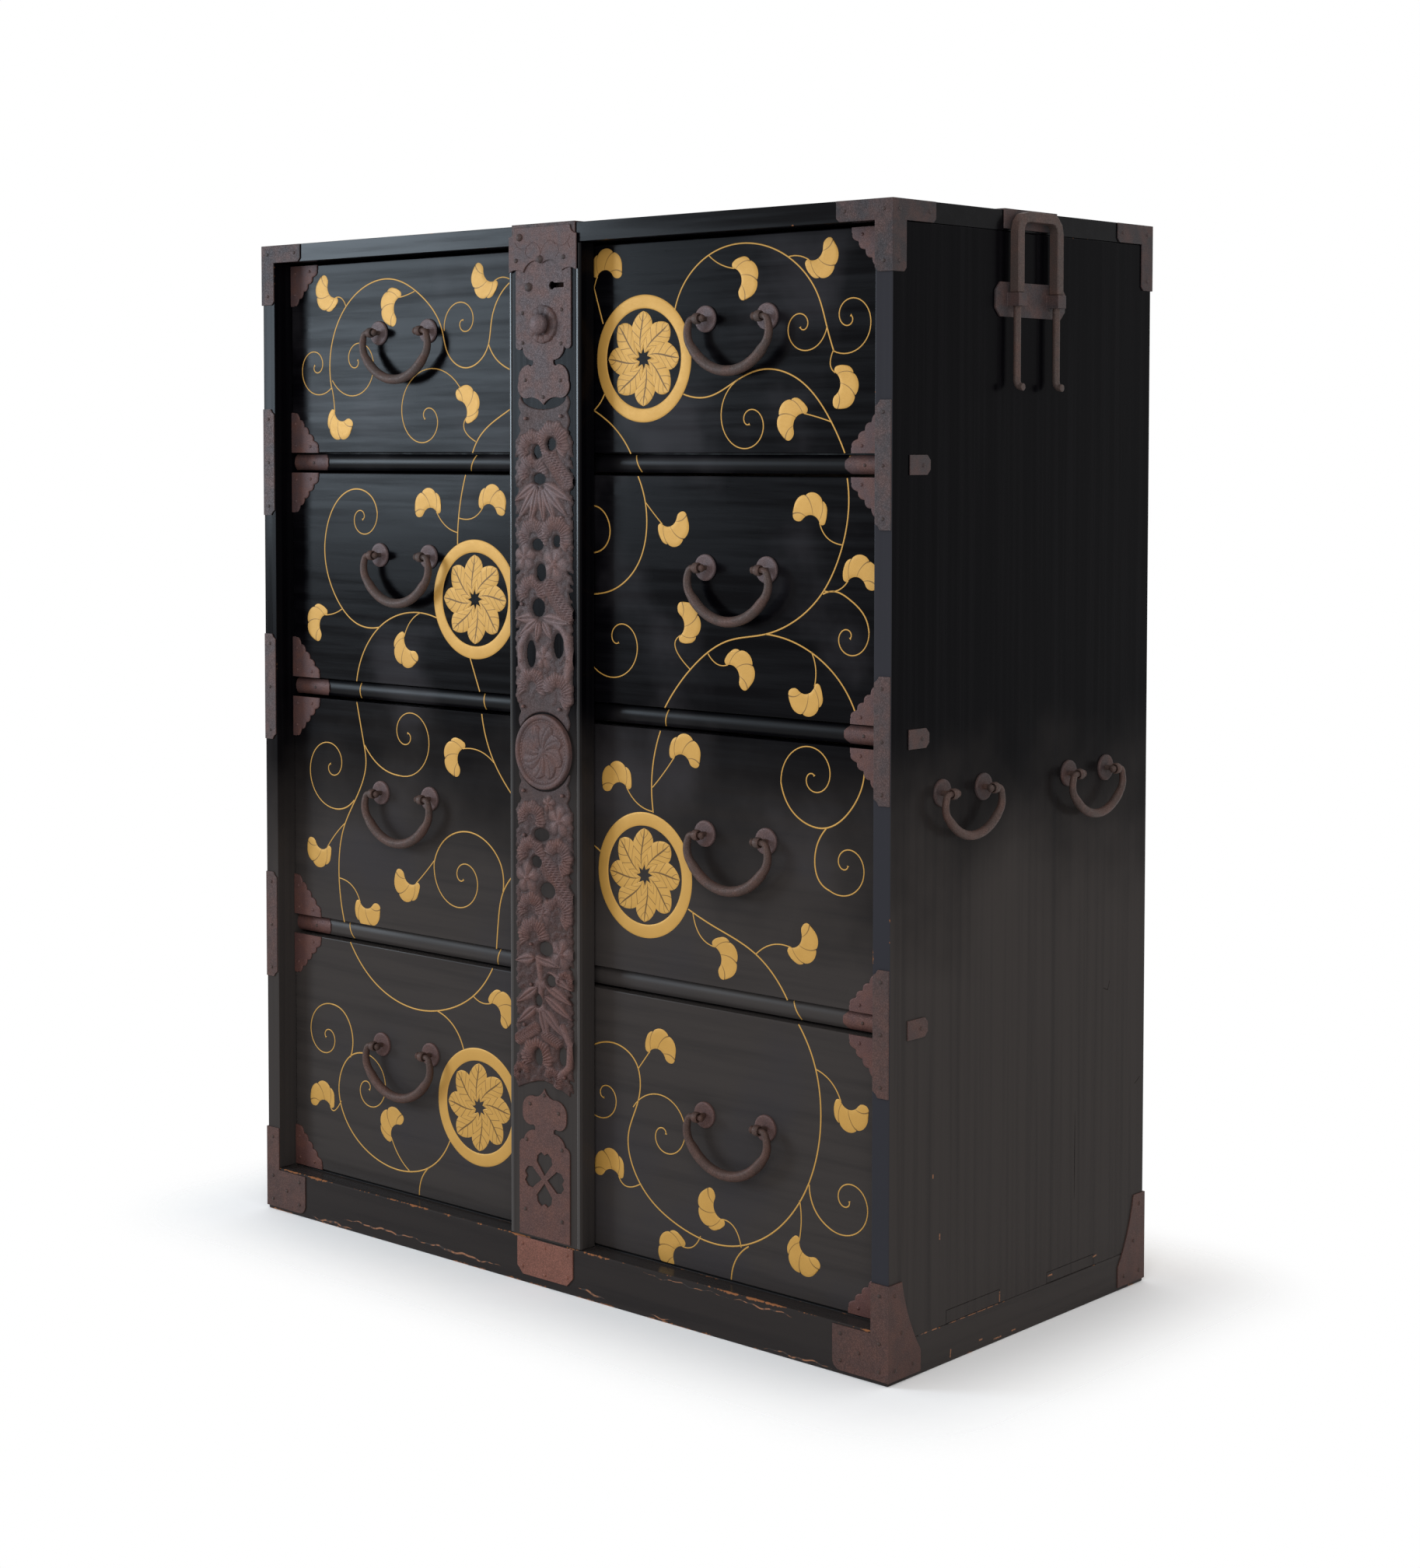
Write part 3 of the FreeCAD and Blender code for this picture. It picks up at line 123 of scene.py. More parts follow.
def patch(points, loop_rows=False, loop_columns=False, shown=None):
    """One grid of points as vertices, quads, and shares of the way along its rows and columns.

    The quad at row i and column j has corners (i, j), (i, j+1), (i+1, j+1), (i+1, j), so its normal is
    the column direction crossed with the row direction. A looped direction joins its last line to its
    first. A quad is left out where none of its corners is in `shown`.
    """
    rows, columns = points.shape[:2]
    i, j = np.indices((rows - (not loop_rows), columns - (not loop_columns)))
    below = (i + 1) % rows
    beside = (j + 1) % columns
    corners = (i * columns + j, i * columns + beside, below * columns + beside, below * columns + j)
    quads = np.stack(corners, axis=-1).reshape(-1, 4)
    if shown is not None:
        quads = quads[shown.reshape(-1)[quads].any(axis=1)]
    shares = np.moveaxis(np.indices((rows, columns)), 0, -1) / np.array([rows - 1, columns - 1])
    return points.reshape(-1, 3), quads, shares.reshape(-1, 2)


def flipped(made):
    """The same patch facing the other way, for a mirrored copy."""
    points, quads, shares = made
    return points, quads[:, ::-1], shares


print("quads of a grid of 3 by 4 points:", len(patch(np.zeros((3, 4, 3)))[1]))

# %% Pieces
WELD_DISTANCE = 1e-6
ALL_SMOOTH = 180


def weld(mesh):
    """Closes seams and poles by merging points at one place, and drops points that no face uses."""
    edit = bmesh.new()
    edit.from_mesh(mesh)
    bmesh.ops.remove_doubles(edit, verts=edit.verts, dist=WELD_DISTANCE)
    loose = [vertex for vertex in edit.verts if not vertex.link_faces]
    bmesh.ops.delete(edit, geom=loose, context="VERTS")
    edit.to_mesh(mesh)
    edit.free()


def make_piece(name, patches, material, body, stands_for=(), sharp=50):
    """Joins patches, given in millimetres, into one smooth mesh object that rides a body.

    Edges that turn by more than `sharp` degrees stay sharp.
    """
    starts = np.cumsum([0] + [len(made[0]) for made in patches])
    points = np.concatenate([made[0] for made in patches]) * MM
    quads = np.concatenate([made[1] + start for made, start in zip(patches, starts)])
    shares = np.concatenate([made[2] for made in patches])
    mesh = bpy.data.meshes.new(name)
    mesh.vertices.add(len(points))
    mesh.vertices.foreach_set("co", points.astype(np.float32).ravel())
    mesh.loops.add(quads.size)
    mesh.loops.foreach_set("vertex_index", quads.astype(np.int32).ravel())
    mesh.polygons.add(len(quads))
    mesh.polygons.foreach_set("loop_start", np.arange(0, quads.size, 4, dtype=np.int32))
    mesh.polygons.foreach_set("use_smooth", np.ones(len(quads), bool))
    share_map = mesh.uv_layers.new(name="share")
    share_map.data.foreach_set("uv", shares[quads.ravel()].astype(np.float32).ravel())
    mesh.update(calc_edges=True)
    weld(mesh)
    mesh.set_sharp_from_angle(angle=math.radians(sharp))
    mesh.materials.append(material)
    piece = bpy.data.objects.new(name, mesh)
    bpy.context.scene.collection.objects.link(piece)
    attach(piece, body)
    if stands_for:
        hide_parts(*stands_for)
    print(name, "-", len(mesh.polygons), "faces on", body)
    return piece


def make_painted(name, patches, material, body):
    """A piece that lies on lacquer, smooth all over."""
    return make_piece(name, patches, material, body, sharp=ALL_SMOOTH)


print("points are welded within", WELD_DISTANCE / MM, "mm")

# %% [markdown]
# ## Three ways to sweep a surface
# Forged bars are a round section carried along a path. Studs, rosettes and the button are a profile
# turned round an axis. A vine is a low rounded band that follows a line on a face. These three cover
# most of the pieces, so they are written once.


# %% Sweeps
def round_angles(count):
    """A column of angles that go once round, with the last one short of the first."""
    return np.linspace(0, 2 * np.pi, count, endpoint=False)[:, None]


def turned_to(points, pivot, turn):
    """Points made facing -Y, turned about Z by an angle and moved to a pivot."""
    cos, sin = math.cos(turn), math.sin(turn)
    x, y, z = np.moveaxis(points, -1, 0)
    return as_points(x * cos - y * sin, x * sin + y * cos, z) + np.array(pivot)


def directions(path):
    """Unit vectors along a path."""
    along = np.gradient(path, axis=0)
    return along / np.linalg.norm(along, axis=1, keepdims=True)


def tube(path, radii, plane_normal, sides=20):
    """A round section along a path in one plane: p = c + r (n cos a + b sin a).

    b is the plane's normal and n is b crossed with the path's direction, so faces point outwards.
    """
    b = np.array(plane_normal, float)
    n = np.cross(b, directions(path))
    a = round_angles(sides)
    return path[:, None] + np.reshape(radii, (-1, 1, 1)) * (n[:, None] * np.cos(a) + b * np.sin(a))


def spun(radii, depths, sides=32):
    """A profile of radius against depth, turned round the Y axis: p = (r cos a, depth, r sin a).

    The profile runs outwards from the middle, so that faces point to -Y.
    """
    a = round_angles(sides)
    r = np.asarray(radii, float)
    return as_points(r * np.cos(a), np.asarray(depths, float), r * np.sin(a))


print("points of a turned disc:", spun((0, 1), (0, 0)).shape[:2])

# %% Bands and smooth lines
BAND = np.array([-1, -0.8, -0.35, 0.35, 0.8, 1])
SINK = 0.02


def band(line, widths, rise, face):
    """A low rounded band on a face that looks to -Y: p = line + w s side, with s from -1 to 1 across it.

    Its depth is face - rise sqrt(1 - s^2), and its edges sink a little into the face. `face` is one depth,
    or one for each point of the line.
    """
    along = directions(line)
    side = np.stack([along[:, 1], -along[:, 0]], axis=1)
    spread = np.reshape(widths, (-1, 1)) / 2 * BAND
    flat = line[:, None] + spread[..., None] * side[:, None]
    depth = np.reshape(face, (-1, 1)) - rise * np.sqrt(1 - BAND ** 2) + SINK
    return as_points(flat[..., 0], depth, flat[..., 1])


def smooth_line(points, spacing=2.0):
    """A cubic spline through given points, with knots at the lengths h of the chords between them.

    The bends m solve h0 m0 + 2 (h0 + h1) m1 + h1 m2 = 6 (slope1 - slope0), and the end bends repeat
    their neighbours. Between two points, with a left to go and b gone,
    p = (a^3 m0 + b^3 m1) / 6h + (p0/h - m0 h/6) a + (p1/h - m1 h/6) b.
    """
    p = np.asarray(points, float)
    h = np.linalg.norm(np.diff(p, axis=0), axis=1)
    inner = np.arange(1, len(p) - 1)
    system = np.zeros((len(p), len(p)))
    system[inner, inner - 1] = h[:-1]
    system[inner, inner] = 2 * (h[:-1] + h[1:])
    system[inner, inner + 1] = h[1:]
    system[0, :2] = system[-1, -2:] = 1, -1
    pull = np.zeros_like(p)
    pull[1:-1] = 6 * np.diff(np.diff(p, axis=0) / h[:, None], axis=0)
    m = np.linalg.lstsq(system, pull, rcond=None)[0]
    knots = np.concatenate([[0], np.cumsum(h)])
    s = np.linspace(0, knots[-1], max(4, int(knots[-1] / spacing)))
    k = np.clip(np.searchsorted(knots, s, side="right") - 1, 0, len(h) - 1)
    a, b, run = (knots[k + 1] - s)[:, None], (s - knots[k])[:, None], h[k][:, None]
    bent = (a ** 3 * m[k] + b ** 3 * m[k + 1]) / (6 * run)
    return bent + (p[k] / run - m[k] * run / 6) * a + (p[k + 1] / run - m[k + 1] * run / 6) * b


print("points on a line of about 20 mm:", len(smooth_line([(0, 0), (10, 1), (20, 0)])))

# %% [markdown]
# ## Node helpers
# Materials are networks of nodes. A few short helpers add a node with its settings and inputs, and
# start a node group with named sockets, so that the recipes below read as lists of steps.


# %% Nodes
def feed(tree, made, feeds):
    """Fills a node's inputs, by name or number: an output socket is linked, anything else is a value."""
    for name, value in feeds.items():
        if isinstance(value, bpy.types.NodeSocket):
            tree.links.new(value, made.inputs[name])
        else:
            made.inputs[name].default_value = value


def add_node(tree, kind, settings=None, feeds=None):
    """One shader node with its settings and inputs."""
    made = tree.nodes.new("ShaderNode" + kind)
    for name, value in (settings or {}).items():
        setattr(made, name, value)
    feed(tree, made, feeds or {})
    return made


def maths(tree, operation, *values):
    """The output of one Math node."""
    return add_node(tree, "Math", {"operation": operation}, dict(enumerate(values))).outputs[0]


def vectors(tree, operation, *values):
    """The vector output of one Vector Math node."""
    return add_node(tree, "VectorMath", {"operation": operation}, dict(enumerate(values))).outputs[0]


def axis_of(tree, place, axis):
    """One coordinate of a place, by its letter."""
    return add_node(tree, "SeparateXYZ", None, {0: place}).outputs[axis]


def noise(tree, place, scale, detail, roughness=0.5):
    """The value of a Noise Texture node."""
    feeds = {"Vector": place, "Scale": scale, "Detail": detail, "Roughness": roughness}
    return add_node(tree, "TexNoise", None, feeds).outputs[0]


def ramp(tree, value, low, high, to_low=0.0, to_high=1.0):
    """The output of a smooth-step Map Range node."""
    feeds = {"Value": value, "From Min": low, "From Max": high, "To Min": to_low, "To Max": to_high}
    return add_node(tree, "MapRange", {"interpolation_type": "SMOOTHSTEP"}, feeds).outputs["Result"]


def mix_colour(tree, share, first, second):
    """The colour output of a Mix node, whose colour sockets are numbers 6 and 7."""
    return add_node(tree, "Mix", {"data_type": "RGBA"}, {0: share, 6: first, 7: second}).outputs[2]


def bumped(tree, height, strength, distance):
    """The normal that a Bump node makes of a height."""
    feeds = {"Height": height, "Strength": strength, "Distance": distance}
    return add_node(tree, "Bump", None, feeds).outputs[0]


# %% Groups and materials
def start_group(name, inputs, outputs):
    """A node group, its input sockets and its output node; inputs are (name, socket kind, default)."""
    tree = bpy.data.node_groups.new(name, "ShaderNodeTree")
    for label, kind, value in inputs:
        socket = tree.interface.new_socket(label, in_out="INPUT", socket_type="NodeSocket" + kind)
        if value is not None:
            socket.default_value = value
    for label in outputs:
        tree.interface.new_socket(label, in_out="OUTPUT", socket_type="NodeSocketFloat")
    entry = tree.nodes.new("NodeGroupInput")
    leave = tree.nodes.new("NodeGroupOutput")
    return tree, entry.outputs, leave


def end_group(tree, leave, results):
    """Links a group's results to its output node."""
    feed(tree, leave, results)
    print("group", tree.name, "with", len(tree.nodes), "nodes")


def use_group(tree, group, feeds):
    """The outputs of a node group placed in a material."""
    return add_node(tree, "Group", {"node_tree": group}, feeds).outputs


def new_material(name):
    """An empty material with a Principled shader; its tree, shader and Object coordinates."""
    material = bpy.data.materials.new(name)
    material.use_nodes = True
    tree = material.node_tree
    shader = tree.nodes["Principled BSDF"]
    place = add_node(tree, "TexCoord").outputs["Object"]
    return material, tree, shader, place


def paint(node, material):
    """Gives a CAD node one material."""
    nodes[node].data.materials.clear()
    nodes[node].data.materials.append(material)


# %% [markdown]
# ## Edge wear and grain
# Lacquer wears off first where two faces meet. The distance to the nearest edge of a board is the middle
# one of its three distances to the faces of its box, so a point on a face can tell how near it is to an
# edge. A noise breaks that line into chips. The grain of the wood still shows through the lacquer as
# long soft streaks, which are a noise stretched along the board.

# %% Edge wear group
edge_wear, given, leave = start_group(
    "edge_wear",
    [("Position", "Vector", None), ("Low", "Vector", None), ("High", "Vector", None),
     ("Reach", "Float", 0.004), ("Cover", "Float", 0.5)],
    ["Mask"])
from_low = vectors(edge_wear, "SUBTRACT", given["Position"], given["Low"])
from_high = vectors(edge_wear, "SUBTRACT", given["High"], given["Position"])
nearest = vectors(edge_wear, "MINIMUM", from_low, from_high)
apart = add_node(edge_wear, "SeparateXYZ", None, {0: nearest}).outputs
smaller = maths(edge_wear, "MINIMUM", apart[0], apart[1])
larger = maths(edge_wear, "MAXIMUM", apart[0], apart[1])
edge_distance = maths(edge_wear, "MAXIMUM", smaller, maths(edge_wear, "MINIMUM", larger, apart[2]))
coarse = noise(edge_wear, given["Position"], 24.0, 5.0, 0.7)
fine = noise(edge_wear, given["Position"], 260.0, 3.0)
ragged = maths(edge_wear, "MULTIPLY_ADD", fine, 0.35, coarse)
spared = maths(edge_wear, "SUBTRACT", 1.15, given["Cover"])
reach = maths(edge_wear, "MULTIPLY", given["Reach"], 5.0)
allowed = maths(edge_wear, "MULTIPLY", maths(edge_wear, "SUBTRACT", ragged, spared), reach)
chipped = ramp(edge_wear, maths(edge_wear, "SUBTRACT", allowed, edge_distance), -0.0002, 0.0004)
end_group(edge_wear, leave, {"Mask": chipped})

# %% Board grain group
board_grain, given, leave = start_group(
    "board_grain",
    [("Position", "Vector", None), ("Stretch", "Vector", (4.0, 60.0, 60.0))],
    ["Streak", "Haze", "Height"])
stretched = vectors(board_grain, "MULTIPLY", given["Position"], given["Stretch"])
streak = noise(board_grain, stretched, 1.0, 6.0, 0.6)
haze = noise(board_grain, given["Position"], 6.0, 4.0)
dust = noise(board_grain, given["Position"], 900.0, 2.0)
height = maths(board_grain, "MULTIPLY_ADD", dust, 0.25, streak)
end_group(board_grain, leave, {"Streak": streak, "Haze": haze, "Height": height})

# %% [markdown]
# ## Black lacquer
# The lacquer is almost black and satin. It is painted a little lighter and browner towards the foot, as a
# painted reflection of the pale floor, and its streaks shift the roughness more than the colour. One board
# also gets a painted sheen along its front edge. Each board gets its own copy, because the direction of the
# grain and the box for its worn edges differ.

# %% Lacquer
LACQUER_TOP = (0.0012, 0.0011, 0.0017, 1)
LACQUER_FOOT_REFLECTION = (0.037, 0.032, 0.030, 1)
LACQUER_STREAK_AND_SHADE = (0.007, 0.0068, 0.0080, 1)
LACQUER_HAZE = (0.030, 0.028, 0.032, 1)
BARE_UNDERCOAT = (0.21, 0.085, 0.036, 1)
CHIP_REACH = 0.003


def lacquer(node, stretch, cover=0.42, shine=0.03, matt=0.0, haze=0.0, foot=LACQUER_FOOT_REFLECTION, front=None):
    """The lacquer of one board: streaks along the grain, a painted floor reflection towards the foot, and
    chipped edges.

    `haze` is the share of dull patches, `matt` is added to the roughness, `foot` is the colour painted
    towards the foot as a reflection of the floor, and `front` is a painted sheen colour for the board's
    front edge.
    """
    material, tree, shader, place = new_material(f"lacquer_{node}_{shine}")
    low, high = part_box(node)
    grain = use_group(tree, board_grain, {"Position": place, "Stretch": stretch})
    box_feeds = {"Position": place, "Low": low, "High": high, "Reach": CHIP_REACH, "Cover": cover}
    worn = use_group(tree, edge_wear, box_feeds)["Mask"]
    # Painted reflection of the floor: the colour turns lighter and browner towards the foot.
    foot_reflection_level = maths(tree, "MULTIPLY_ADD", grain["Haze"], -0.3, axis_of(tree, place, "Z"))
    colour = mix_colour(tree, ramp(tree, foot_reflection_level, 0.48, 0.24), LACQUER_TOP, foot)
    colour = mix_colour(tree, ramp(tree, grain["Streak"], 0.4, 0.75, 0.0, 0.3), colour, LACQUER_STREAK_AND_SHADE)
    colour = mix_colour(tree, ramp(tree, grain["Haze"], 0.5, 0.7, 0.0, haze), colour, LACQUER_HAZE)
    # Painted sheen: a lighter blue-grey along the board's front edge.
    if front is not None:
        depth = axis_of(tree, place, "Y")
        front_sheen_mask = ramp(tree, depth, (CASE_FRONT + 1.2) * MM, (CASE_FRONT + 0.6) * MM)
        colour = mix_colour(tree, front_sheen_mask, colour, front)
    gloss = ramp(tree, grain["Streak"], 0.3, 0.7, 0.15 + matt, 0.32 + matt)
    feed(tree, shader, {
        "Base Color": mix_colour(tree, worn, colour, BARE_UNDERCOAT),
        "Roughness": maths(tree, "MULTIPLY_ADD", worn, 0.4, gloss),
        "Specular IOR Level": shine,
        "Normal": bumped(tree, grain["Height"], 0.06, 0.0006),
    })
    return material


# %% Lacquered boards
ALONG_X = (3.0, 70.0, 70.0)
ALONG_Y = (70.0, 3.0, 70.0)
UPRIGHT = (110.0, 110.0, 1.6)
# A painted sheen colour for the right side's front edge.
LACQUER_STILE_SHEEN = (0.026, 0.026, 0.031, 1)
# The plinth front gets its own colour for the painted floor reflection at its foot.
LACQUER_PLINTH_REFLECTION = (0.025, 0.0215, 0.0205, 1)
BOARDS = (
    ("left_side", UPRIGHT, 0.33, {}),
    ("right_side", UPRIGHT, 0.33, {"shine": 0.022, "front": LACQUER_STILE_SHEEN}),
    ("top_board", ALONG_X, 0.32, {"shine": 0.06}),
    ("plinth_front", ALONG_X, 0.49, {"foot": LACQUER_PLINTH_REFLECTION}),
    ("plinth_back", ALONG_X, 0.46, {}),
    ("plinth_sides", ALONG_Y, 0.4, {}),
    ("drawer_rails", ALONG_X, 0.34, {"shine": 0.085, "matt": 0.14, "haze": 0.4}),
    ("bar_board", UPRIGHT, 0.28, {}),
)
for number in DRAWERS:
    paint(f"drawer_{number}_front", lacquer(f"drawer_{number}_front", ALONG_X, 0.25, 0.036, haze=0.5))
for node, stretch, cover, finish in BOARDS:
    paint(node, lacquer(node, stretch, cover, **finish))
print("lacquered nodes:", len(DRAWERS) + len(BOARDS))

# %% [markdown]
# ## Bare wood
# Inside, the drawers and runners are planed light wood. Grain lines come from the same streak noise, pushed
# through a wave so that light and dark bands alternate. The front ends of the drawer boxes and of the base
# board show through the gaps round the drawers, and are painted near-black there as painted shade.

# %% Wood
WOOD_PALE = (0.46, 0.31, 0.18, 1)
WOOD_DULL = (0.36, 0.23, 0.13, 1)
WOOD_LINE = (0.22, 0.12, 0.06, 1)
WOOD_ALONG_X = (3.0, 60.0, 60.0)
WOOD_ALONG_Y = (60.0, 3.0, 60.0)


def bare_wood(name, stretch, shade_edge=None):
    """Planed light wood with darker grain lines, painted near-black as painted shade from the front up to y
    = shade_edge.
    """
    material, tree, shader, place = new_material(name)
    grain = use_group(tree, board_grain, {"Position": place, "Stretch": stretch})
    rings = maths(tree, "FRACT", maths(tree, "MULTIPLY", grain["Streak"], 9.0))
    lines = maths(tree, "MULTIPLY", ramp(tree, rings, 0.55, 0.95), 0.5)
    colour = mix_colour(tree, lines, mix_colour(tree, grain["Haze"], WOOD_PALE, WOOD_DULL), WOOD_LINE)
    if shade_edge is not None:
        # Painted shade: near-black from the front end back to the given depth, where the wood shows through
        # the gaps.
        painted_shade = ramp(tree, axis_of(tree, place, "Y"), shade_edge + MM, shade_edge - MM)
        colour = mix_colour(tree, painted_shade, colour, LACQUER_STREAK_AND_SHADE)
    feed(tree, shader, {
        "Base Color": colour,
        "Roughness": ramp(tree, grain["Streak"], 0.3, 0.7, 0.5, 0.7),
        "Normal": bumped(tree, grain["Height"], 0.15, 0.0008),
    })
    return material


DRAWER_SHADE_EDGE = (low_corner("drawer_1_box")[1] + 3) * MM
BASE_SHADE_EDGE = (low_corner("base_board")[1] + 40) * MM
paint("drawer_runners", bare_wood("bare_wood_along_depth", WOOD_ALONG_Y))
paint("back_board", bare_wood("bare_wood_along_width", WOOD_ALONG_X))
paint("base_board", bare_wood("base_wood", WOOD_ALONG_X, BASE_SHADE_EDGE))
DRAWER_WOOD = bare_wood("drawer_wood", WOOD_ALONG_Y, DRAWER_SHADE_EDGE)
for number in DRAWERS:
    paint(f"drawer_{number}_box", DRAWER_WOOD)
print("bare wood nodes:", len(DRAWERS) + 3)

# %% [markdown]
# ## Forged iron
# The irons are dark brown, matt and speckled, with a fine hammered unevenness. All the finishes share
# one group: the bar's facing, the case irons, the redder plates on the drawers and so on.

# %% Forged skin group
forged_skin, given, leave = start_group(
    "forged_skin", [("Position", "Vector", None)], ["Speckle", "Patch", "Height"])
speck = noise(forged_skin, given["Position"], 1100.0, 3.0, 0.65)
blotch = noise(forged_skin, given["Position"], 55.0, 5.0, 0.6)
dents = add_node(forged_skin, "TexVoronoi", None, {"Vector": given["Position"], "Scale": 190.0})
end_group(forged_skin, leave, {
    "Speckle": ramp(forged_skin, speck, 0.35, 0.7),
    "Patch": ramp(forged_skin, blotch, 0.35, 0.68),
    "Height": maths(forged_skin, "MULTIPLY_ADD", speck, 0.6, dents.outputs["Distance"]),
})

# %% Iron
RUST = (0.115, 0.048, 0.034, 1)
CHASED_DEPTH = 0.004


def iron(name, upper, lower, rust_share=0.4, sunk=None):
    """Matt speckled iron, from an upper colour to a redder lower one, with patches of rust.

    `sunk` is the depth in metres at which a chased surface is darkest, from patina and painted shade in its
    hollows. Where it stands CHASED_DEPTH in front of that it is painted lighter, a painted highlight on the
    relief.
    """
    material, tree, shader, place = new_material(name)
    skin = use_group(tree, forged_skin, {"Position": place})
    ground = mix_colour(tree, ramp(tree, axis_of(tree, place, "Z"), 0.95, 0.05), upper, lower)
    rusted = mix_colour(tree, maths(tree, "MULTIPLY", skin["Patch"], rust_share), ground, RUST)
    shade = ramp(tree, skin["Speckle"], 0.0, 1.0, 0.72, 1.28)
    if sunk is not None:
        # Patina and painted shade darken the hollows of the chased relief, and a painted highlight lightens
        # its raised parts.
        relief_shade = ramp(tree, axis_of(tree, place, "Y"), sunk, sunk - CHASED_DEPTH, 0.32, 1.2)
        shade = maths(tree, "MULTIPLY", shade, relief_shade)
    feed(tree, shader, {
        "Base Color": add_node(tree, "HueSaturation", None, {"Value": shade, "Color": rusted}).outputs[0],
        "Roughness": ramp(tree, skin["Speckle"], 0.0, 1.0, 0.66, 0.5),
        "Metallic": 0.25,
        "Specular IOR Level": 0.25,
        "Normal": bumped(tree, skin["Height"], 0.3, 0.0005),
    })
    return material


# %% Iron finishes
CHASED_SUNK = (BAR_FACE - 0.6) * MM
BAR_IRON = iron("bar_iron", (0.061, 0.045, 0.047, 1), (0.073, 0.036, 0.031, 1))
CHASED_IRON = iron("chased_iron", (0.112, 0.082, 0.084, 1), (0.080, 0.040, 0.035, 1), 0.4, CHASED_SUNK)
CASE_IRON = iron("case_iron", (0.042, 0.034, 0.036, 1), (0.054, 0.029, 0.025, 1), 0.3)
CORNER_IRON = iron("corner_iron", (0.028, 0.023, 0.025, 1), (0.054, 0.029, 0.025, 1), 0.3)
DRAWER_IRON = iron("drawer_iron", (0.065, 0.040, 0.041, 1), (0.078, 0.034, 0.030, 1), 0.5)
FORGED_BAR = iron("forged_bar", (0.058, 0.042, 0.038, 1), (0.055, 0.032, 0.026, 1), 0.3)
WASHER_IRON = iron("washer_iron", (0.098, 0.074, 0.078, 1), (0.084, 0.046, 0.042, 1), 0.25)
NAIL_IRON = iron("nail_iron", (0.040, 0.032, 0.032, 1), (0.040, 0.026, 0.022, 1), 0.2)
RUSTED_PLATE = iron("rusted_plate", (0.190, 0.080, 0.056, 1), (0.165, 0.066, 0.047, 1), 0.5)
IRON_NODES = (
    (CASE_IRON, ("foot_corner_irons", "stile_straps", "tenon_irons", "head_strike", "pole_rim_irons",
                 "pole_plates")),
    (CORNER_IRON, ("top_corner_irons",)),
    (BAR_IRON, ("head_iron", "lock_plate", "foot_iron", "lock_case", "lock_bolt")),
    (DRAWER_IRON, ("rail_end_irons",)),
    (RUSTED_PLATE, ("foot_strike",)),
    (FORGED_BAR, tuple(f"{side}_pole_bail" for side in SIDES)),
)
for finish, names in IRON_NODES:
    for node in names:
        paint(node, finish)
print("iron nodes:", sum(len(names) for finish, names in IRON_NODES))

# %% [markdown]
# ## Painted gold
# The vines are gold on lacquer, slightly raised and soft rather than mirror bright. Fine dark lines for
# the ribs of a leaf follow the leaf, so they are drawn from its own UV map: u along it and v across. A
# petal of a roundel is folded about its midrib, and its ribs meet there.

# %% Leaf ribs group
leaf_ribs, given, leave = start_group(
    "leaf_ribs",
    [("Share", "Vector", None), ("Ribs", "Float", 3.0), ("Sweep", "Float", 0.3), ("Line", "Float", 0.02),
     ("Midrib", "Float", 0.0)],
    ["Mask"])
shares = add_node(leaf_ribs, "SeparateXYZ", None, {0: given["Share"]}).outputs
unfolded = maths(leaf_ribs, "MULTIPLY", shares["Y"], maths(leaf_ribs, "ADD", given["Midrib"], 1.0))
off_middle = maths(leaf_ribs, "ABSOLUTE", maths(leaf_ribs, "SUBTRACT", unfolded, given["Midrib"]))
inwards = maths(leaf_ribs, "MULTIPLY", maths(leaf_ribs, "SUBTRACT", 1.0, off_middle), given["Sweep"])
swept = maths(leaf_ribs, "ADD", maths(leaf_ribs, "MULTIPLY", shares["X"], given["Ribs"]), inwards)
to_rib = maths(leaf_ribs, "DIVIDE", maths(leaf_ribs, "PINGPONG", swept, 0.5), given["Ribs"])
rib = ramp(leaf_ribs, maths(leaf_ribs, "SUBTRACT", to_rib, given["Line"]), -0.008, 0.008, 1.0, 0.0)
spine = maths(leaf_ribs, "MULTIPLY", ramp(leaf_ribs, off_middle, 0.04, 0.09, 1.0, 0.0), given["Midrib"])
end_group(leaf_ribs, leave, {"Mask": maths(leaf_ribs, "MAXIMUM", rib, spine)})

# %% Gold
GOLD_DEEP = (0.385, 0.208, 0.042, 1)
GOLD_BRIGHT = (0.475, 0.266, 0.062, 1)
RIB_DARK = (0.05, 0.025, 0.01, 1)


def gold(name, ribs=None):
    """Soft mottled gold; ribs are the inputs of the leaf_ribs group, or None for plain gold."""
    material, tree, shader, place = new_material(name)
    grit = noise(tree, place, 1500.0, 2.0)
    colour = mix_colour(tree, noise(tree, place, 45.0, 4.0), GOLD_DEEP, GOLD_BRIGHT)
    if ribs:
        share = add_node(tree, "TexCoord").outputs["UV"]
        lines = use_group(tree, leaf_ribs, {"Share": share, **ribs})["Mask"]
        colour = mix_colour(tree, maths(tree, "MULTIPLY", lines, 0.85), colour, RIB_DARK)
    feed(tree, shader, {
        "Base Color": colour,
        "Roughness": ramp(tree, grit, 0.3, 0.7, 0.42, 0.58),
        "Metallic": 0.25,
        "Specular IOR Level": 0.25,
        "Normal": bumped(tree, grit, 0.1, 0.0002),
    })
    return material


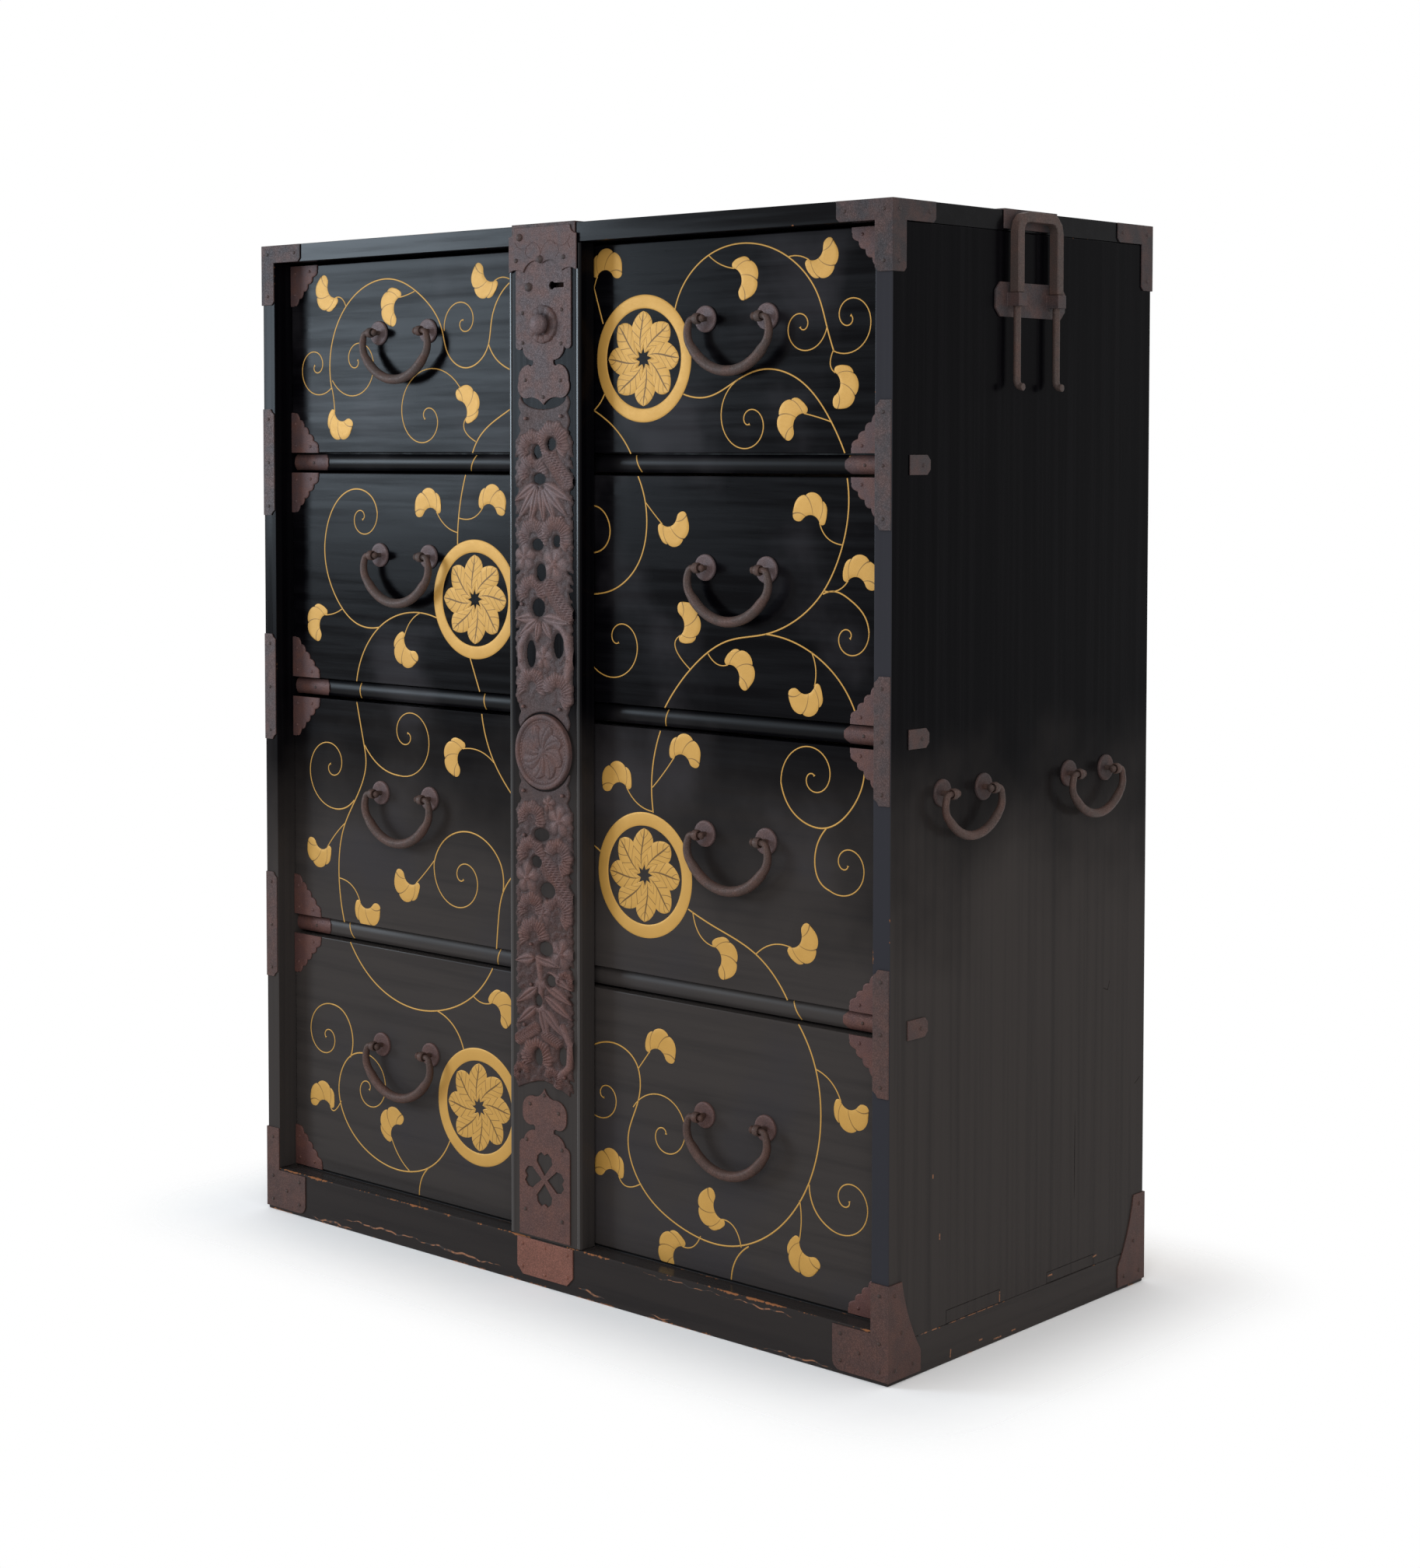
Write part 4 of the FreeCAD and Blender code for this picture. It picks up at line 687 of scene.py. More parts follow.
PLAIN_GOLD = gold("plain_gold")
LEAF_GOLD = gold("leaf_gold", {"Ribs": 3.0, "Sweep": 0.6, "Line": 0.007, "Midrib": 0.0})
PETAL_GOLD = gold("petal_gold", {"Ribs": 5.0, "Sweep": 1.3, "Line": 0.008, "Midrib": 1.0})
print("materials so far:", len(bpy.data.materials))

# %% [markdown]
# ## Softened edges of the CAD pieces
# A board or a plate never has a perfectly sharp edge, and a small bevel catches the light. The packed
# mesh is loose triangles, so a Weld modifier joins them before the Bevel, and the mesh itself is not
# touched.

# %% Bevels
JOIN_DISTANCE = 1e-5
SHARP_ANGLE = math.radians(35)


def soften(node, width, segments=2):
    """Rounds the edges of a CAD node by a width in millimetres."""
    joined = nodes[node].modifiers.new("join_triangles", "WELD")
    joined.merge_threshold = JOIN_DISTANCE
    rounded = nodes[node].modifiers.new("round_edges", "BEVEL")
    rounded.width = width * MM
    rounded.segments = segments
    rounded.limit_method = "ANGLE"
    rounded.angle_limit = SHARP_ANGLE


for node in ("left_side", "right_side", "plinth_front", "plinth_sides", "plinth_back", "bar_board"):
    soften(node, 1.4, 3)
for number in DRAWERS:
    soften(f"drawer_{number}_front", 1.0)
for node in ("head_iron", "lock_plate", "foot_iron", "top_corner_irons", "foot_corner_irons", "stile_straps",
             "tenon_irons", "foot_strike", "head_strike", "pole_rim_irons", "pole_plates"):
    soften(node, 0.5)
soften("top_board", 0.3)
soften("lock_bolt", 0.8)
for side in SIDES:
    soften(f"{side}_pole_bail", 1.2)
print("softened nodes:", sum(bool(item.modifiers) for item in nodes.values()))

# %% [markdown]
# ## Drop handles
# Each bail is a forged bar: thin pins turned in through the eyes, arms that bend down and swell, and one
# wide bottom arc. The path is three tangent arcs for each half, the same ones the CAD bar follows with
# flat faces. A round section whose radius grows along the path makes it smooth, and a small head closes
# each pin.

# %% Bail surface
PIN = 3.0
PIN_INSIDE = 9.5
PIN_OUTSIDE = 5.7
BEND = 5.5
LEAN = math.radians(75)
ARM_RUN = 4.0
BODY_RUN = 6.0
HEAD_RUNS = np.array([0, 0.3, 1.2, 2.6, 3.6, 4.4])
HEAD_RADII = (0.0, 1.9, 3.2, 4.0, 3.6, PIN)


def arc(centre, radius, first, last, count):
    """Points of an arc in the XZ plane: centre + radius (sin a, cos a), with a from first to last."""
    a = np.linspace(first, last, count)
    return as_points(centre[0] + radius * np.sin(a), 0, centre[1] + radius * np.cos(a))


def bail_surface(spacing, drop, side_radius, arm_radius, body_radius):
    """A bail about its pins on the X axis, as a round section along three tangent arcs and their mirror."""
    pin_end = spacing / 2 + PIN_OUTSIDE
    shoulder = np.array([pin_end + BEND * math.sin(LEAN), BEND * (math.cos(LEAN) - 1)])
    arm_end = shoulder + ARM_RUN * np.array([math.cos(LEAN), -math.sin(LEAN)])
    side_centre = arm_end - side_radius * np.array([math.sin(LEAN), math.cos(LEAN)])
    turn = 2 * math.atan2(side_centre[0] + BODY_RUN, side_centre[1] + drop - side_radius)
    bottom = (side_centre[0] + side_radius * math.sin(turn) + BODY_RUN * math.cos(turn)) / math.sin(turn)
    half = np.vstack([
        as_points(spacing / 2 - PIN_INSIDE + HEAD_RUNS, 0, 0),
        arc((pin_end, -BEND), BEND, 0, LEAN, 12),
        arc(side_centre, side_radius, LEAN, turn, 16),
        arc((0, bottom - drop), bottom, turn, math.pi, 24),
    ])
    radii = np.concatenate([
        HEAD_RADII,
        np.linspace(PIN, PIN + 0.5, 12),
        np.linspace(arm_radius - 0.3, arm_radius + 0.3, 16),
        np.full(24, body_radius),
    ])
    path = np.vstack([half, half[-2::-1] * np.array([-1, 1, 1])])
    return tube(path, np.concatenate([radii, radii[-2::-1]]), (0, 1, 0))


# %% Bails
DRAWER_SPACING = 80
SIDE_SPACING = 68
DRAWER_BAIL = bail_surface(DRAWER_SPACING, 52.5, 22, 4.2, 5.25)
SIDE_BAIL = bail_surface(SIDE_SPACING, 43, 16, 3.7, 4.5)
BAIL_JOINTS = [joint for joint in frame["joints"] if joint["name"].endswith("_bail_swing")]


def board_turn(name):
    """The turn about Z from the front to the face that a bail hangs on, by the bail's name."""
    if name.startswith("drawer"):
        return 0
    return QUARTER if name.startswith("right") else -QUARTER


def pivot_of(joint):
    """Where a joint turns, in millimetres."""
    return np.array(joint["pos_m"]) / MM


for joint in BAIL_JOINTS:
    name = joint["child"]
    bail = DRAWER_BAIL if name.startswith("drawer") else SIDE_BAIL
    shape = turned_to(bail, pivot_of(joint), board_turn(name))
    make_piece(name + "_forged", [patch(shape, loop_columns=True)], FORGED_BAR, name, [name])

# %% [markdown]
# ## Eyes and rosettes
# A bail hangs in two eyes. Each eye is a strip of iron folded round the pin, with its legs driven through
# a dished washer. The fold is a flattened ring, the legs are a short neck, and the washer is a turned
# profile.

# %% Eye and rosette patches
EYE_REACH = 14.0
NECK_DEPTHS = np.array([-9.2, -6, -3, 0.4])[:, None]
WASHER_RADII = (0, 3, 6, 8.5, 10.8, 12.4, 13.2, 13.5, 13.5)
WASHER_DEPTHS = (-2.0, -2.0, -2.1, -2.3, -2.55, -2.6, -2.2, -1.2, 0.3)


def squared(wave, power):
    """A wave whose size is raised to a power below 1, with its sign kept, so that it is fuller."""
    return np.sign(wave) * np.abs(wave) ** power


def eye_patches(pivot, turn):
    """An eye: a ring of flattened section about the pin, and a neck that runs back to the board.

    Ring: p = (3.5 sin b, (4.4 + 1.2 cos b) sin a - reach, (4.4 + 1.2 cos b) cos a), with a fuller sin b.
    Neck: p = (3.3 cos b, depth, (2.4 - 0.04 depth) sin b), with both waves fuller.
    """
    a = round_angles(28)
    b = round_angles(14).T
    out = 4.4 + 1.2 * np.cos(b)
    ring = as_points(3.5 * squared(np.sin(b), 0.6), out * np.sin(a) - EYE_REACH, out * np.cos(a))
    rise = (2.4 - 0.04 * NECK_DEPTHS) * squared(np.sin(b), 0.5)
    neck = as_points(3.3 * squared(np.cos(b), 0.5), NECK_DEPTHS, rise)
    ring_patch = patch(turned_to(ring, pivot, turn), loop_rows=True, loop_columns=True)
    neck_patch = patch(turned_to(neck, pivot, turn), loop_columns=True)
    return [ring_patch, neck_patch]


def rosette_patch(pivot, turn):
    """A dished washer: the turned profile above, with a rim a little proud of its middle."""
    return patch(turned_to(spun(WASHER_RADII, WASHER_DEPTHS), pivot, turn), loop_rows=True)


def hang(joints, spacing):
    """The patches of the eyes and of the rosettes for some bails, whose eyes are `spacing` apart."""
    eyes = []
    rosettes = []
    ends = np.array([[spacing / 2, EYE_REACH, 0], [-spacing / 2, EYE_REACH, 0]])
    for joint in joints:
        turn = board_turn(joint["child"])
        for spot in turned_to(ends, pivot_of(joint), turn):
            eyes += eye_patches(spot, turn)
            rosettes.append(rosette_patch(spot, turn))
    return eyes, rosettes


side_eyes, side_rosettes = hang([joint for joint in BAIL_JOINTS if joint["parent"] == "case"], SIDE_SPACING)
make_piece("side_eyes_folded", side_eyes, FORGED_BAR, "case", ["side_eyes"])
make_piece("side_rosettes_dished", side_rosettes, CASE_IRON, "case", ["side_rosettes"])

# %% [markdown]
# ## Studs
# Every plate is nailed down, and the round nail heads are much of its character. One function makes a
# cluster of domes. The dome is a share s from the middle outwards, with height h sqrt(1 - s^2).

# %% Nails
DOME = np.array([0, 0.35, 0.65, 0.88, 1.0])
NAIL_ROOT = 0.4
NAIL_SIDES = 12


def nails(spots, turn, radius, height):
    """Domed nail heads at (x, y, z) spots on a face that looks to -Y turned about Z."""
    depths = -height * np.sqrt(1 - DOME ** 2)
    depths[-1] = NAIL_ROOT
    head = spun(DOME * radius, depths, NAIL_SIDES)
    return [patch(turned_to(head, spot, turn), loop_rows=True) for spot in spots]


def front_nails(flat, depth, radius, height):
    """Domed nail heads at (x, z) spots on a front face at one depth."""
    return nails([(x, depth, z) for x, z in flat], 0, radius, height)


print("faces of a nail head:", NAIL_SIDES * (len(DOME) - 1))

# %% [markdown]
# ## Irons of a drawer front
# The plates on the corners are cut to five lobes along their long edge. In polar form about the corner
# the edge is the slanted line x + z = legs plus a wave of five bumps, and the plate is the fan between
# the corner and that edge. Its nails join the same piece. The CAD node holds the eyes and rosettes as
# well. Their finish differs, so they become pieces of their own.

# %% Drawer irons
CORNER_LEG = 46.0
CORNER_END = 6.0
PLATE_THICK = 1.5
EDGE_SHARE = np.array([0, 0.5, 0.95, 0.98, 1.0, 1.0])
EDGE_DEPTH = np.array([1, 1, 1, 0.92, 0.6, -0.2]) * PLATE_THICK
CORNER_NAILS = ((8, 8), (33, 7), (7, 33))
SMALL_NAIL = (1.9, 1.1)


def corner_plate(corner, side, up):
    """A lobed corner plate: p = corner + share * edge(a), with a from the flat edge to the upright one.

    edge(a) is the slanted line of a triangle with cut ends, with five bumps along it.
    """
    a = np.linspace(0, QUARTER, 61)[:, None]
    slanted = (CORNER_LEG + CORNER_END) / (np.cos(a) + np.sin(a))
    legs = CORNER_LEG / np.maximum(np.cos(a), np.sin(a))
    share = np.clip((slanted * np.sin(a) - CORNER_END) / (CORNER_LEG - CORNER_END), 0, 1)
    bumps = 3.2 * np.abs(np.sin(5 * np.pi * share)) ** 0.8 - 1.0
    reach = np.minimum(slanted + bumps * (share > 0) * (share < 1), legs) * EDGE_SHARE
    flat = as_points(reach * np.cos(a), -EDGE_DEPTH, reach * np.sin(a))
    first, last = flat[:1].copy(), flat[-1:].copy()
    first[..., 1] = last[..., 1] = 0.2
    made = patch(np.concatenate([first, flat, last]) * np.array([side, 1, up]) + np.array(corner))
    return made if side == up else flipped(made)


for number in DRAWERS:
    body = f"drawer_{number}"
    low, high = low_corner(body + "_front"), high_corner(body + "_front")
    plates = []
    spots = []
    for x, side in ((low[0], 1), (high[0], -1)):
        for z, up in ((low[2], 1), (high[2], -1)):
            plates.append(corner_plate((x, DRAWER_FACE, z), side, up))
            spots += [(x + side * across, z + up * rise) for across, rise in CORNER_NAILS]
    plates += front_nails(spots, DRAWER_FACE - PLATE_THICK, *SMALL_NAIL)
    make_piece(body + "_corner_plates", plates, DRAWER_IRON, body, [body + "_irons"])
    eyes, rosettes = hang([joint for joint in BAIL_JOINTS if joint["parent"] == body], DRAWER_SPACING)
    make_piece(body + "_eyes", eyes, FORGED_BAR, body)
    make_piece(body + "_rosettes", rosettes, WASHER_IRON, body)

# %% [markdown]
# ## Nails of the case irons
# The nails follow the plates: along each strap, at the ends of each angle, round each foot. They are
# worked out for the right side and mirrored to the left.

# %% Case nails
NAIL = (2.0, 1.2)
RAIL_LEVELS = [(low_corner(f"drawer_{number}_front")[2] + high_corner(f"drawer_{number + 1}_front")[2]) / 2
               for number in DRAWERS[:-1]]
TOP_NAILS = CASE_HEIGHT - 10
TOP_LEG_NAILS = CASE_HEIGHT - 58
stile_x, leg_x = SIDE_FACE - 9.5, SIDE_FACE - 56
stile_nails = [(stile_x, level + shift) for level in RAIL_LEVELS for shift in (-50, 0, 50)]
stile_nails += [(stile_x, TOP_NAILS), (leg_x, TOP_NAILS), (stile_x, TOP_LEG_NAILS)]
stile_nails += [(stile_x, 86), (stile_x, 40), (stile_x, 13), (leg_x, 40), (leg_x, 14), (SIDE_FACE - 34, 26)]
stile_nails += [(-x, z) for x, z in stile_nails]
case_nails = front_nails(stile_nails, STRAP_FACE, *NAIL)
rail_end = high_corner("rail_end_irons")[0] - 34
rail_nails = [(x, level) for level in RAIL_LEVELS for x in (rail_end, -rail_end)]
case_nails += front_nails(rail_nails, low_corner("rail_end_irons")[1] + 0.2, *SMALL_NAIL)
side_nails = [(CASE_FRONT + 48, level) for level in RAIL_LEVELS]
for end in (1, -1):
    corner = CASE_FRONT * end
    near, far = corner + end * 9, corner + end * 56
    side_nails += [(near, TOP_NAILS), (far, TOP_NAILS), (near, TOP_LEG_NAILS), (near, 86), (near, 14)]
    side_nails += [(corner + end * 38, 14), (corner + end * 20, 48)]
for x, turn in ((SIDE_IRON, QUARTER), (-SIDE_IRON, -QUARTER)):
    case_nails += nails([(x, y, z) for y, z in side_nails], turn, *NAIL)
make_piece("case_nails", case_nails, NAIL_IRON, "case")

# %% [markdown]
# ## Let-in repairs and cracks
# Two strips of wood have been let into the right side above the plinth. Only their joints show, as fine
# dark lines, with a little bare wood along the foot of the front one. The plinth has split along its
# grain, and bare wood shows in the cracks. The side board has one crack, a few scratches and small chips.
# Each line is a low band on the face.

# %% Flecked colours
CRACK_DARK = (0.012, 0.009, 0.008, 1)
CHIP_DARK = (0.03, 0.018, 0.012, 1)


def flecked(name, scale, detail, edge, dark, light, roughness, shine=0.5):
    """A matt surface that turns from dark to light where a noise lies between the two values of `edge`."""
    material, tree, shader, place = new_material(name)
    fleck = ramp(tree, noise(tree, place, scale, detail), *edge)
    feed(tree, shader, {
        "Base Color": mix_colour(tree, fleck, dark, light),
        "Roughness": roughness,
        "Specular IOR Level": shine,
    })
    return material


JOINT_DARK = flecked("joint_dark", 160.0, 3.0, (0.4, 0.6), (0.004, 0.003, 0.003, 1), CRACK_DARK, 0.7, 0.05)
BARE_JOINT = flecked("bare_joint", 130.0, 4.0, (0.42, 0.56), CRACK_DARK, BARE_UNDERCOAT, 0.8)
BARE_CHIP = flecked("bare_chip", 400.0, 3.0, (0.36, 0.5), CHIP_DARK, BARE_UNDERCOAT, 0.8)
print("flecked materials:", [material.name for material in (JOINT_DARK, BARE_JOINT, BARE_CHIP)])

# %% Repair joints
LINE_POINTS = 12
LINE_RISE = 0.12
FINE_LINE = 0.8


def side_lines(lines, width):
    """Bands along lines given as (distance from the front, z), on the right side's face."""
    made = []
    for line in lines:
        shape = band(np.linspace(*line, LINE_POINTS), width, LINE_RISE, 0)
        made.append(patch(turned_to(shape, (SIDE_FACE, CASE_FRONT, 0), QUARTER)))
    return made


def outline(y0, y1, z0, z1):
    """The four edges of a strip."""
    return [((y0, z0), (y1, z0)), ((y0, z1), (y1, z1)), ((y0, z0), (y0, z1)), ((y1, z0), (y1, z1))]


strips = outline(93, 183, 38.6, 52) + outline(266, 352, 38.6, 50)
make_painted("repair_joints", side_lines(strips, FINE_LINE), JOINT_DARK, "case")

# %% Plinth cracks
CRACK_POINTS = 48
CRACKS = (
    (-322, -190, 12, 12.5, 1.8), (-205, -68, 12, 9, 2.2), (-378, -305, 4, 3.5, 2.2), (48, 86, 10, 7, 2.2),
    (140, 255, 45, 44, 0.7), (262, 336, 44, 43, 1.5), (150, 178, 4, 4, 1.4), (300, 386, 4, 3.5, 1.6),
)


def tapered(least, most, count):
    """Widths from `least` at both ends to least + most in the middle, along half a sine wave."""
    return least + most * np.sin(np.linspace(0, np.pi, count))


def crack(first, last, z_first, z_last, width):
    """A tapered crack along the grain: a line from x = first to last plus sin(x / 7) + 0.6 sin(x / 3)."""
    x = np.linspace(first, last, CRACK_POINTS)
    z = np.linspace(z_first, z_last, CRACK_POINTS) + np.sin(x / 7) + 0.6 * np.sin(x / 3)
    return patch(band(np.stack([x, z], axis=-1), tapered(0.1, width, CRACK_POINTS), LINE_RISE, PLINTH_FACE))


make_painted("plinth_cracks", [crack(*each) for each in CRACKS], BARE_JOINT, "case")

# %% Side wear
BARE_EDGES = (((96, 38.2), (180, 38.2)), ((48, 38.2), (80, 38.2)))
SIDE_CRACK = ((315.6, 207), (315.2, 116))
SIDE_SCRATCHES = (((367, 327), (375, 324)), ((375, 324), (379, 333)), ((429, 216), (439, 222)))
SIDE_CHIPS = (
    ((81.7, 124), (81.7, 130)), ((70.3, 186), (70.3, 190)), ((268, 46), (276, 46)), ((351, 47), (358, 48)),
    ((148, 9), (154, 9)), ((172, 4), (186, 4)), ((204, 5), (211, 5)), ((100, 4), (101, 12)),
    ((183, 39), (183, 50)),
)
make_painted("repair_bare_edge", side_lines(BARE_EDGES, 1.3), BARE_JOINT, "case")
dark_lines = side_lines([SIDE_CRACK], tapered(0.2, 1.1, LINE_POINTS)) + side_lines(SIDE_SCRATCHES, FINE_LINE)
make_painted("side_crack", dark_lines, JOINT_DARK, "case")
make_painted("side_chips", side_lines(SIDE_CHIPS, 1.7), BARE_CHIP, "case")

# %% [markdown]
# ## The carved facing of the bar
# Two long irons on the bar are pierced and chased with pine boughs, plum blossom and bamboo. Each is one
# height field over a fine grid: every motif is a function that gives its height at all points at once,
# and the highest motif wins. Where no motif reaches, the field drops below the bar's face and its quads
# are left out, which is how the piercings come through.


# %% Helpers for motifs
def dome(share):
    """sqrt(1 - share^2) inside the unit range, and 0 outside."""
    return np.sqrt(np.clip(1 - share ** 2, 0, None))


def smooth_step(value, low, high):
    """0 below low, 1 above high, and 3 t^2 - 2 t^3 between."""
    t = np.clip((value - low) / (high - low), 0, 1)
    return t * t * (3 - 2 * t)


def about(x, z, turn, grid_x, grid_z):
    """Distance from (x, z), and the clockwise angle from a crown that is `turn` degrees off straight up."""
    around = np.arctan2(grid_x - x, grid_z - z) - math.radians(turn)
    return np.hypot(grid_x - x, grid_z - z), np.arctan2(np.sin(around), np.cos(around))


def beside(start, end, grid_x, grid_z):
    """Length along the run from start to end, offset across it, and distance from its nearest point."""
    run_x, run_z = end[0] - start[0], end[1] - start[1]
    length = math.hypot(run_x, run_z)
    along = ((grid_x - start[0]) * run_x + (grid_z - start[1]) * run_z) / length
    across = ((grid_z - start[1]) * run_x - (grid_x - start[0]) * run_z) / length
    return along, across, np.hypot(across, along - np.clip(along, 0, length))


print("dome at 0, 0.6 and 1:", dome(np.array([0, 0.6, 1])))


# %% Motif heights
def bough(x, z, reach, turn=0.0):
    """A pine bough: a thick arch about (x, z), grooved by its needles, open opposite to its crown.

    The crown points up when turn is 0, and turn is clockwise in degrees.
    """
    def height(grid_x, grid_z):
        radius, around = about(x, z, turn, grid_x, grid_z)
        rim = reach * (0.95 + 0.05 * np.cos(9 * around))
        eye = reach * 0.25
        share = (2 * radius - rim - eye) / (rim - eye)
        needles = 0.83 + 0.17 * np.cos(32 * around + 2.5 * share)
        return 5.4 * dome(share) ** 0.7 * needles * smooth_step(-np.abs(around), -2.35, -1.75)
    return height


def blossom(x, z, reach, turn=0.0):
    """A plum blossom: five cupped petals with creases between them and a round heart."""
    def height(grid_x, grid_z):
        radius, around = about(x, z, turn, grid_x, grid_z)
        petal = np.abs(np.cos(2.5 * around))
        share = radius / (reach * (0.72 + 0.28 * petal ** 0.6))
        cup = dome(share) ** 0.6 * (0.62 + 0.38 * petal ** 0.5)
        star = 0.5 * np.exp(-(np.sin(2.5 * around) * radius / (0.12 * reach)) ** 2) * (radius < 0.62 * reach)
        heart = 1.3 * dome(radius / (0.22 * reach))
        return 3.8 * cup + (share < 1) * star + heart
    return height


def blade(start, end, width):
    """A bamboo leaf from start to end: a lens with a sunk midrib, widest near its start."""
    def height(grid_x, grid_z):
        along, across, _ = beside(start, end, grid_x, grid_z)
        t = along / math.dist(start, end)
        share = across / (width / 2 * np.sin(np.pi * np.clip(t, 0, 1) ** 0.7) + 1e-6)
        midrib = 1.5 * np.exp(-(share / 0.16) ** 2) * (np.abs(share) < 1)
        return (t > 0) * (t < 1) * (4.2 * dome(share) ** 0.8 - midrib)
    return height


def stalk(points, radius, rise=3.6):
    """A round stem along straight runs: a dome of the distance to the nearest run."""
    def height(grid_x, grid_z):
        away = [beside(start, end, grid_x, grid_z)[2] for start, end in zip(points, points[1:])]
        return rise * dome(np.min(away, axis=0) / radius)
    return height


def plume(start, end, width):
    """A pine bough seen from its side: a rounded bar from start to end, with slanted grooves across it."""
    def height(grid_x, grid_z):
        along, across, away = beside(start, end, grid_x, grid_z)
        needles = 0.83 + 0.17 * np.cos(2 * np.pi * (along - 0.7 * np.abs(across)) / 3.2)
        return 5.2 * dome(away / (width / 2)) ** 0.7 * needles
    return height


sample = bough(0, 0, 23)(np.zeros(1), np.full(1, 14.0))
print("height of a bough on its arch:", round(float(sample[0]), 2))

# %% Carving
PITCH = 0.7
BELOW = -1.2
GROUND = 1.5
TRACE = 0.05
HALF_SPAN = 42.5
FOLIAGE_RISE = 0.48
FOLIAGE_STEP = 12.0
FOLIAGE_REACH = 11.8
FOLIAGE_ROWS = ((-30.5, -10, 10, 30.5), (-31, -20, 0, 20, 31))
CARVED_NAIL = (2.0, 2.4)
CARVED_NAIL_FACE = BAR_FACE - 2.6
CARVED_SHARP = 80


def foliage(low, high):
    """Small boughs in staggered rows, turned five ways in order, to fill the plate behind the motifs."""
    made = []
    for row, level in enumerate(np.arange(low, high, FOLIAGE_STEP)):
        for column, x in enumerate(FOLIAGE_ROWS[row % 2]):
            made.append(bough(x, level, FOLIAGE_REACH, ((3 * row + 2 * column) % 5 - 2) * 28))
    return made


def raised(field, height):
    """The higher of the field and a motif, where the motif is more than a trace."""
    return np.where(height > TRACE, np.maximum(field, height), field)


def carved_iron(name, motifs, holes, end_room, nail_spots, leafy):
    """A height field over the iron's area: the highest of its motifs over a plate with a wavy edge.

    `holes` are ellipses (x, z, half width, half height). `end_room` gives how far a point lies inside both
    ends, and `leafy` the levels between which the plate is filled with foliage.
    """
    across = np.arange(-HALF_SPAN, HALF_SPAN + PITCH, PITCH)
    up = np.arange(low_corner(name)[2], high_corner(name)[2] + PITCH, PITCH)
    grid_z, grid_x = np.meshgrid(up, across, indexing="ij")
    waves = 34.0 + 3.5 * np.abs(np.sin(np.pi * grid_z / 18.5))
    field = GROUND * smooth_step(waves - np.abs(grid_x), -0.2, 1.0)
    field[field < 0.1] = BELOW
    for motif in foliage(*leafy):
        field = raised(field, FOLIAGE_RISE * motif(grid_x, grid_z))
    for motif in motifs:
        field = raised(field, motif(grid_x, grid_z))
    for x, z, half_x, half_z in holes:
        level = np.hypot((grid_x - x) / half_x, (grid_z - z) / half_z)
        field = np.where(level < 1, BELOW, field * (0.3 + 0.7 * smooth_step(level, 1.0, 1.45)))
    inside = end_room(grid_x, grid_z)
    field = np.where(inside < 0, BELOW, field * (0.5 + 0.5 * smooth_step(inside, 0, 1.2)))
    patches = [patch(as_points(grid_x, BAR_FACE - field, grid_z), shown=field > 0)]
    patches += front_nails(nail_spots, CARVED_NAIL_FACE, *CARVED_NAIL)
    make_piece(name + "_chased", patches, CHASED_IRON, "lock_bar", [name], CARVED_SHARP)


# %% Upper carved iron
MEDALLION_ROOM = 41.5


def from_medallion(x, z):
    """How far a point lies outside the circle left free for the medallion."""
    return np.hypot(x, z - MEDALLION_Z) - MEDALLION_ROOM


def upper_room(x, z):
    """Below the bow round the lock plate's tip, and above the medallion."""
    bow = 942 - 13.5 * dome(np.clip(x / 33, -1, 1))
    return np.minimum(bow - z, np.minimum(from_medallion(x, z), z - 591))


upper_motifs = [
    bough(-15, 886, 23, -8), bough(14, 893, 25, 20), plume((9, 880), (33, 853), 21), bough(-15, 861, 23),
    blade((-8, 851), (-41, 832), 14), blade((-9, 848), (-37, 811), 13), blade((-8, 847), (-19, 806), 13),
    blade((-3, 848), (2, 808), 13), blade((2, 851), (42, 833), 14), blade((3, 847), (36, 816), 13),
    blade((1, 846), (19, 810), 12), bough(-14, 794, 23), bough(18, 796, 24, 25), blossom(-26, 774, 16),
    blossom(17, 767, 20, 20), bough(-16, 735, 22), plume((9, 743), (33, 715), 22),
    blade((-7, 711), (-41, 708), 14), blade((-8, 708), (-37, 688), 13), blade((-5, 707), (-10, 684), 11),
    blade((0, 711), (42, 706), 15), blade((0, 707), (13, 688), 12),
    stalk([(18, 706), (34, 691), (38, 668), (33, 648)], 6.5),
    stalk([(-24, 695), (-34, 680), (-33, 660), (-24, 648)], 5.5), blossom(1, 669, 14), bough(-17, 637, 23),
    bough(20, 632, 24, 30),
]
upper_holes = [
    (11, 892, 6, 6.5), (-9, 884, 6, 7), (-6, 856, 9, 5.5), (19, 791, 5.5, 6), (-9, 787, 8, 6),
    (-4, 758, 7, 9), (-8, 721, 9, 9.5), (21, 682, 7, 13), (-19, 672, 6.5, 14),
]
upper_nails = [
    (-25, 919), (26, 921), (-29, 881), (30, 860), (-29, 819), (28, 816), (-31, 724), (28, 722), (-33, 664),
    (36, 667), (-29, 616), (24, 616),
]
carved_iron("upper_carved_iron", upper_motifs, upper_holes, upper_room, upper_nails, (628, 900))


# %% Lower carved iron
def lower_room(x, z):
    """Below the medallion, and above the arch over the foot iron's tip."""
    arch = 221 - 13 * np.abs(x / 41) ** 1.5
    return np.minimum(z - arch, np.minimum(from_medallion(x, z), 548.5 - z))


